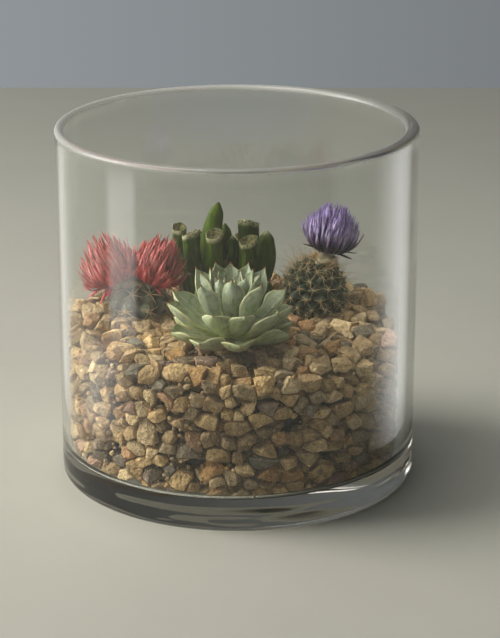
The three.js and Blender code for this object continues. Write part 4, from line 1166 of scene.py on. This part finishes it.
# %% Cactus skin, wool and spines
def skin_finish(name, light, dark, bloom):
    """The skin of a cactus: light on its tubercles or ribs, dark in the furrows as painted shade, with a pale
    bloom.
    """
    skin = Finish(name, Subsurface_Weight=0.06, Subsurface_Scale=0.001, Specular_IOR_Level=0.35)
    # Painted shade: the skin goes over into the dark colour in the furrows between tubercles or ribs.
    colour = skin.mix(skin.band(skin.value("joint"), 0.15, 0.95), light, dark)
    colour = skin.over(colour, bloom, skin.band(skin.grain(2.5, 4), 0.4, 0.68), 0.45)
    freckles = skin.band(skin.cells(0.7), 0.25, 0.1)
    skin.paint(skin.over(colour, bloom, freckles, 0.35))
    skin.rough(skin.grain(2), 0.5, 0.75)
    skin.relief((skin.grain(1.6, 4), 0.3), (skin.cells(0.7), 0.06))
    return skin.material


# The second colour of each skin is the painted shade in its furrows.
dark_skin = skin_finish("pincushion_skin", linear(74, 88, 58), linear(26, 34, 22), linear(98, 108, 78))
grey_skin = skin_finish("chin_skin", linear(104, 108, 86), linear(52, 56, 42), linear(150, 146, 120))
dress(pincushion, dark_skin, "pincushion_cactus")
dress(chin, grey_skin, "chin_cactus")

horn = Finish("spine_horn", Roughness=0.45, Specular_IOR_Level=0.5)
straw = horn.shades(horn.value("along"), (0.0, linear(184, 128, 70)), (0.25, linear(218, 180, 116)),
                    (0.8, linear(206, 164, 100)), (1.0, linear(120, 88, 60)))
horn.paint(horn.over(straw, linear(206, 192, 156), horn.grain(1.5, 3), 0.5))
wool = Finish("areole_wool", Roughness=0.95, Sheen_Weight=0.4, Sheen_Roughness=0.6, Specular_IOR_Level=0.1)
wool.paint(wool.mix(wool.grain(0.6, 4), linear(196, 172, 128), linear(150, 110, 70)))
wool.relief((wool.grain(0.4, 4), 0.4))
for spines, tufts, slot, node in ((pin_spines, pin_wool, "pincushion_flesh", "pincushion_cactus"),
                                  (chin_spines, chin_wool, "chin_flesh", "chin_cactus")):
    dress(spines, horn.material, node)
    dress(tufts, wool.material, node)
print("cacti dressed")

# %% [markdown]
# ## The everlasting flowers
# The heads are dried everlastings. All their narrow papery bracts start low at the stalk and sweep up
# round a pear-shaped heart like the bristles of a shaving brush: the outer ones bulge out and end
# lowest, the inner ones stand up straight. A bract is a thin folded strip along a quadratic curve, made
# as a tube whose ring is a flat kite. A seeded draw makes each head as untidy as a real one.

# %% Everlastings: one head
DIVIDE, SQUEEZED = -43.7, 2.6  # x where the two red heads meet, and how far a bract may reach over it
GOLDEN_ANGLE = 2.39996
HEART_ALONG = [0, 0.05, 0.16, 0.34, 0.5, 0.64, 0.72]
HEART_WIDTH = [0.2, 0.48, 0.62, 0.64, 0.5, 0.28, 0.05]
BRACT_ALONG = [0, 0.16, 0.34, 0.52, 0.7, 0.84, 0.95, 1]
BRACT_WIDTH = [0.5, 0.8, 1, 0.96, 0.74, 0.46, 0.16, 0]


def flower_head(name, foot, lean, height, radius, count, width, lowest, flare, seed, side_of=0, strays=()):
    """A heart and its bracts; k runs from 0 for the outermost bract to 1 for the innermost.

    lowest is the share of the height at which the outermost end; flare is how untidy they are. side_of is
    1 or -1 for a head that keeps left or right of DIVIDE. A stray is a turn, a tilt, a rise and a length.
    """
    rng = np.random.default_rng(seed)
    foot = np.array(foot, float)
    axis = unit(np.array(lean, float))
    side = unit(np.cross([0, 1, 0], axis))
    front = np.cross(axis, side)
    heart_z = np.linspace(0.01, 0.7, 18)
    heart_r = through(HEART_ALONG, HEART_WIDTH, heart_z)
    turn = np.arange(28) / 28 * 2 * np.pi
    spread = (heart_r * radius)[:, None] * (1 + 0.05 * np.sin(6 * turn + heart_z[:, None] * 30))
    heart = (foot + axis * (heart_z * height)[:, None, None]
             + side * (spread * np.cos(turn))[..., None] + front * (spread * np.sin(turn))[..., None])
    core = tubes(heart[None], foot[None], (foot + axis * HEART_ALONG[-1] * height)[None])

    k = np.linspace(0, 1, count) ** 1.25
    angle = np.arange(count) * GOLDEN_ANGLE + rng.normal(0, 0.2, count)
    out = side * np.cos(angle)[:, None] + front * np.sin(angle)[:, None]
    across = front * np.cos(angle)[:, None] - side * np.sin(angle)[:, None]
    tip_r = radius * (1.1 - 0.84 * k) * (1 + flare * rng.normal(-0.01, 0.055, count))
    tip_z = height * (lowest + (1.04 - lowest) * k ** 0.66 + rng.uniform(-0.12, 0.02, count))
    bulge = radius * (0.98 - 0.56 * k) * rng.uniform(0.92, 1.08, count)

    def at(r, z):
        """A place on each bract: so far out from the axis, and so far up it."""
        return foot + out * r[:, None] + axis * z[:, None]

    start = at(radius * 0.46 * (1 - 0.7 * k), height * (0.03 + 0.16 * k))
    middle = at(bulge, height * (lowest * 0.36 + 0.22 * k + rng.normal(0, 0.03, count)))
    tip = at(tip_r, np.minimum(tip_z, height)) + across * rng.normal(0, 0.09 * radius, (count, 1))
    for turned, tilt, rise, length in strays:  # single bracts that hang or stand out of the head
        way = side * math.cos(math.radians(turned)) + front * math.sin(math.radians(turned))
        line = way * math.sin(math.radians(tilt)) + axis * math.cos(math.radians(tilt))
        begin = foot + way * 0.3 * radius + axis * rise * height
        start, middle, tip = (np.vstack([a, b]) for a, b in (
            (start, begin), (middle, begin + line * length * 0.5 + axis * 0.6), (tip, begin + line * length)))
        across = np.vstack([across, np.cross(axis, way)])
    if side_of:
        over = (tip[:, 0] - DIVIDE) * side_of
        pulled = np.where(over > 0, over - SQUEEZED * np.tanh(over / SQUEEZED), 0)
        tip[:, 0] -= pulled * side_of
        middle[:, 0] -= pulled * side_of * 0.6
    t = np.array(BRACT_ALONG[:-1])[None, :, None]
    line = (1 - t) ** 2 * start[:, None] + 2 * t * (1 - t) * middle[:, None] + t * t * tip[:, None]
    along = unit((1 - t) * (middle - start)[:, None] + t * (tip - middle)[:, None])
    flat = unit(across[:, None] - along * (across[:, None] * along).sum(-1, keepdims=True))
    normal = np.cross(along, flat)
    wide = through(BRACT_ALONG, BRACT_WIDTH, t[..., 0])
    wide = wide * width * rng.uniform(0.75, 1.25, (len(tip), 1))
    twist = rng.normal(0, 0.3, (len(tip), 1, 1)) + rng.normal(0, 0.4, (len(tip), 1, 1)) * t
    c, si = np.cos(twist), np.sin(twist)
    flat, normal = flat * c + normal * si, normal * c - flat * si
    fold = wide[..., None] * 0.2
    rings = np.stack([line + flat * wide[..., None] / 2 - normal * fold, line + normal * 0.07,
                      line - flat * wide[..., None] / 2 - normal * fold, line - normal * 0.07], 2)
    tone = rng.random(len(tip))
    bracts = tubes(rings, start - along[:, 0] * 0.4, tip)
    offset = len(core[0])
    points = np.concatenate([core[0], bracts[0]])

    def shared(values, first, last):
        """Values on the bracts, and 0 on the heart."""
        return np.concatenate([np.zeros(offset), per_point(rings, values, first, last).ravel()])

    quads, corners = (np.concatenate([core[i], bracts[i] + offset]) for i in (1, 2))
    return piece(
        name, points, quads, corners, along=shared(t, 0, 1), across=shared(np.array([1.0, 0, -1, 0]), 0, 0),
        tone=shared(tone[:, None, None], tone, tone), level=((points - foot) @ axis) / height)


# %% Everlastings: the three heads
red_left = flower_head(
    "everlasting_red_left_head", (-51, 8.5, 79.5), (-0.42, 0, 1), 23, 13.5, 210, 2.6, 0.28, 1.7, 11,
    side_of=1,
    strays=((176, 92, 0.1, 12), (186, 104, 0.06, 11), (215, 128, 0.04, 9), (250, 118, 0.06, 8)))
red_right = flower_head(
    "everlasting_red_right_head", (-36, 8.5, 79.5), (0.34, -0.04, 1), 22.4, 12, 220, 2.5, 0.38, 1.4, 23,
    side_of=-1,
    strays=((300, 108, 0.06, 7), (345, 100, 0.08, 7)))
purple = flower_head(
    "everlasting_purple_head", (39.3, 12, 92), (0.18, 0, 1), 21.6, 12, 320, 1.75, 0.54, 1.2, 37,
    strays=((190, 60, 0.08, 12), (205, 78, 0.06, 10), (350, 84, 0.06, 9), (335, 96, 0.04, 8)))

# %% [markdown]
# ## Papery bracts
# Bracts shine like silk because they are made of fine lengthwise fibres, so both their colour and their
# relief are streaked along them. The light streaks in the colour are partly painted highlight, and the dark
# ones partly painted shade between the fibres. The colour runs from the heart to the tip. It is darkest at
# the foot of each bract, partly painted shade deep in the head, and palest short of the tip, partly painted
# highlight. It changes with the level in the head, where painted shade darkens the foot of the head, and each
# bract has a tone of its own.

# %% Papery bracts
def bract_finish(name, dark, body, tip, low):
    """Silky bracts; low is the colour at the foot of the head, painted shade there."""
    bract = Finish(name, Roughness=0.4, Sheen_Weight=0.2, Sheen_Roughness=0.35, Specular_IOR_Level=0.5,
                   Anisotropic=0.4, Subsurface_Weight=0.05, Subsurface_Scale=0.001)
    # Partly painted shade at the foot of each bract, deep in the head, and partly painted highlight short of
    # its tip.
    colour = bract.shades(bract.value("along"), (0.0, dark), (0.35, body), (0.8, tip), (1.0, body))
    colour = bract.over(colour, dark, bract.value("tone"), 0.6)
    fibre_streaks_and_sheen = bract.lengthwise(bract.value("across"), bract.value("along"), bract.value("tone"), 3.0)
    # Light streaks are partly painted highlight, and dark streaks partly painted shade between the fibres.
    colour = bract.over(colour, tip, bract.band(fibre_streaks_and_sheen, 0.5, 0.62), 0.8)
    colour = bract.over(colour, dark, bract.band(fibre_streaks_and_sheen, 0.46, 0.32), 0.7)
    # Painted shade: the colour darkens towards the foot of the head.
    bract.paint(bract.over(colour, low, bract.band(bract.value("level"), 0.55, 0.1)))
    bract.relief((fibre_streaks_and_sheen, 0.12))
    return bract.material


red = bract_finish(
    "red_bracts", linear(158, 14, 32), linear(255, 62, 72), linear(255, 172, 164), linear(214, 48, 58))
violet = bract_finish(
    "violet_bracts", linear(44, 18, 92), linear(142, 94, 232), linear(240, 220, 255), linear(50, 24, 56))
dress(red_left, red, "everlasting_red_left")
dress(red_right, red, "everlasting_red_right")
dress(purple, violet, "everlasting_purple")
print("heads dressed")

# %% [markdown]
# ## Dabs of glue
# Each head is held by hot-melt glue, pressed down on the crown of the cactus so that it wells up round
# the stalk in rounded lobes. A lobe is a ball whose radius swells and shrinks with a few slow waves.

# %% Dabs of glue
def lobes(centres, sizes, rng):
    """Balls with a radius of 1 plus three slow waves over their directions, stretched to each size."""
    directions, faces = ball(3)
    waves = rng.normal(0, 1, (len(centres), 3, 3)) * 1.9
    waved = np.einsum("dc,nwc->ndw", directions, waves) + rng.uniform(0, 6, (len(centres), 1, 3))
    swell = 1 + 0.07 * np.sin(waved).sum(-1)
    points = np.array(centres)[:, None] + directions * np.array(sizes)[:, None] * swell[..., None]
    return points, (faces + (np.arange(len(centres)) * len(directions))[:, None, None]).reshape(-1, 3)


glue = Finish("hot_melt_glue", Roughness=0.3, Subsurface_Weight=0.3, Subsurface_Scale=0.003,
              Specular_IOR_Level=0.5)
glue.paint(glue.mix(glue.grain(2.5, 4), linear(214, 200, 166), linear(158, 134, 98)))
glue.relief((glue.grain(2.2, 3), 0.3), (glue.grain(0.5, 2), 0.05))
DABS = [  # piece, solid, and each lobe's middle and half sizes
    ("glue_lobes_red", "glue_red",
     [(-43.6, 9.5, 79), (-50, 8.6, 79.2), (-38, 8.8, 79), (-44, 6.4, 79.6)],
     [(8.4, 4.9, 3.0), (3.6, 3.6, 2.5), (3.4, 3.6, 2.4), (4.2, 2.4, 2.0)]),
    ("glue_lobes_violet", "glue_purple",
     [(38.8, 12, 88.8), (36, 9.6, 88.4), (41.4, 9.6, 88.6), (39, 8.6, 89)],
     [(4.8, 4.3, 2.5), (2.3, 2.2, 1.7), (2.3, 2.2, 1.7), (2.2, 1.4, 1.4)]),
]
rng = np.random.default_rng(51)
for name, node, centres, sizes in DABS:
    points, faces = lobes(centres, sizes, rng)
    dress(piece(name, points, corners=faces), glue.material, node)

# %% [markdown]
# ## Floor and light
# The jar stands on a plain pale floor that ends some way behind it, so the upper part of the picture is the
# plain grey-blue of the room. The room is brighter towards the window on the left, which gives the glass a
# light side and a dark side. Painted shade darkens the floor a little towards its far edge.

# %% Floor and room
FLOOR_SIDE, FLOOR_FRONT, FLOOR_BACK = 1600, -1900, 730
floor = piece("floor", [(-FLOOR_SIDE, FLOOR_FRONT, 0), (FLOOR_SIDE, FLOOR_FRONT, 0),
                        (FLOOR_SIDE, FLOOR_BACK, 0), (-FLOOR_SIDE, FLOOR_BACK, 0)],
              quads=[(0, 1, 2, 3)], smooth=False)
matt = Finish("pale_floor", Roughness=0.8, Specular_IOR_Level=0.2)
near = matt.mix(matt.grain(60, 4), linear(186, 183, 169), linear(194, 191, 178))
# Painted shade: the floor's colour is darkened towards its far edge.
painted_far_shade = matt.mix(1.0, near, (0.68, 0.69, 0.7, 1), "MULTIPLY")
backwards = matt.add("ShaderNodeSeparateXYZ", {0: matt.place}).outputs["Y"]
matt.paint(matt.mix(matt.band(backwards, 0.0, 0.75), near, painted_far_shade))
floor.data.materials.append(matt.material)

world = bpy.data.worlds.new("room")
bpy.context.scene.world = world
world.use_nodes = True
room = world.node_tree


def room_share(axis, low, high, at_low, at_high):
    """A number that goes smoothly from at_low to at_high while one part of the direction rises."""
    split = room.nodes.new("ShaderNodeSeparateXYZ")
    room.links.new(room.nodes.new("ShaderNodeTexCoord").outputs["Generated"], split.inputs[0])
    share = room.nodes.new("ShaderNodeMapRange")
    share.interpolation_type = "SMOOTHSTEP"
    room.links.new(split.outputs[axis], share.inputs["Value"])
    for key, number in (("From Min", low), ("From Max", high), ("To Min", at_low), ("To Max", at_high)):
        share.inputs[key].default_value = number
    return share.outputs[0]


brightness = room.nodes.new("ShaderNodeMath")
brightness.operation = "MULTIPLY"
room.links.new(room_share("X", -0.7, 0.7, 1.9, 0.3), brightness.inputs[0])
room.links.new(room_share("Z", -0.05, 0.5, 0.9, 0.8), brightness.inputs[1])
room.links.new(brightness.outputs[0], room.nodes["Background"].inputs["Strength"])
room.nodes["Background"].inputs["Color"].default_value = linear(134, 139, 142)
print("the floor ends", FLOOR_BACK, "mm behind the jar's middle")

# %% [markdown]
# A big soft window at the left, a little behind, makes the daylight, and a weak one overhead opens the
# shadows. Clear glass shows only through what it mirrors: the haze and the sheen at its left, the mist
# low down, the upright band at its right, the cool glow high on the far wall and the line on the rim are
# mirror images of soft panels. Each is brightest in the middle and fades to nothing. They are seen in
# gloss alone and are linked to the jar, so they light neither the plants nor the stones.

# %% Light
def soft_panel(name, place, target, size, power, colour=(1, 0.98, 0.95)):
    """An area light at a place in metres, facing a target; size is its width and height in metres."""
    light = bpy.data.lights.new(name, "AREA")
    light.shape = "RECTANGLE"
    light.size, light.size_y = size
    light.energy, light.color = power, colour
    made = bpy.data.objects.new(name, light)
    made.rotation_euler = Vector(np.subtract(target, place)).to_track_quat("-Z", "Y").to_euler()
    made.location = place
    bpy.context.scene.collection.objects.link(made)
    return made


jar_only = bpy.data.collections.new("jar_only")
jar_only.objects.link(glass_jar)


def mirrored_panel(name, place, target, size, power, soft=0.5, colour=(1, 1, 1)):
    """A panel that shows in the jar's reflections alone; soft is the share of its width that fades."""
    made = soft_panel(name, place, target, size, power, colour)
    made.light_linking.receiver_collection = jar_only
    made.visible_camera = made.visible_diffuse = False
    made.visible_transmission = made.visible_volume_scatter = False
    made.data.use_nodes = True
    tree = made.data.node_tree
    split = tree.nodes.new("ShaderNodeSeparateXYZ")
    tree.links.new(tree.nodes.new("ShaderNodeNewGeometry").outputs["Parametric"], split.inputs[0])
    faded = tree.nodes.new("ShaderNodeMath")
    faded.operation = "MULTIPLY"
    for step, (axis, full) in enumerate((("X", soft), ("Y", 0.25))):
        fold = tree.nodes.new("ShaderNodeMath")
        fold.operation = "PINGPONG"
        fold.inputs[1].default_value = 0.5
        tree.links.new(split.outputs[axis], fold.inputs[0])
        fade = tree.nodes.new("ShaderNodeMapRange")
        fade.interpolation_type = "SMOOTHSTEP"
        fade.inputs["From Max"].default_value = full
        tree.links.new(fold.outputs[0], fade.inputs["Value"])
        tree.links.new(fade.outputs[0], faded.inputs[step])
    tree.links.new(faded.outputs[0], tree.nodes["Emission"].inputs["Strength"])
    return made


soft_panel("window", (-1.2, 0.05, 0.85), (0, 0, 0.05), (0.9, 0.9), 25)
soft_panel("overhead", (-0.2, 0.2, 1.5), (0, 0, 0), (1.2, 1.2), 1.5)
mirrored_panel(
    "left_haze", (-0.115, -0.0775, 0.09), (0, -0.0775, 0.09), (0.05, 0.1), 0.047, 0.25, (1, 0.97, 0.93))
mirrored_panel("left_sheen", (-0.12, 0.045, 0.075), (0, 0.045, 0.075), (0.1, 0.19), 0.05)
mirrored_panel("low_mist", (-0.12, -0.045, 0.03), (0, -0.045, 0.03), (0.11, 0.055), 0.035)
mirrored_panel("right_band", (0.12, -0.005, 0.075), (0, -0.005, 0.075), (0.1, 0.19), 0.14)
mirrored_panel("far_glow", (0, 0.01, 0.128), (0, 0.1, 0.128), (0.14, 0.046), 0.007, 0.5, (0.25, 0.6, 1.5))
mirrored_panel("rim_line", (-0.3, 0.05, 1.0), (0, 0, 0.15), (2.0, 0.45), 14)
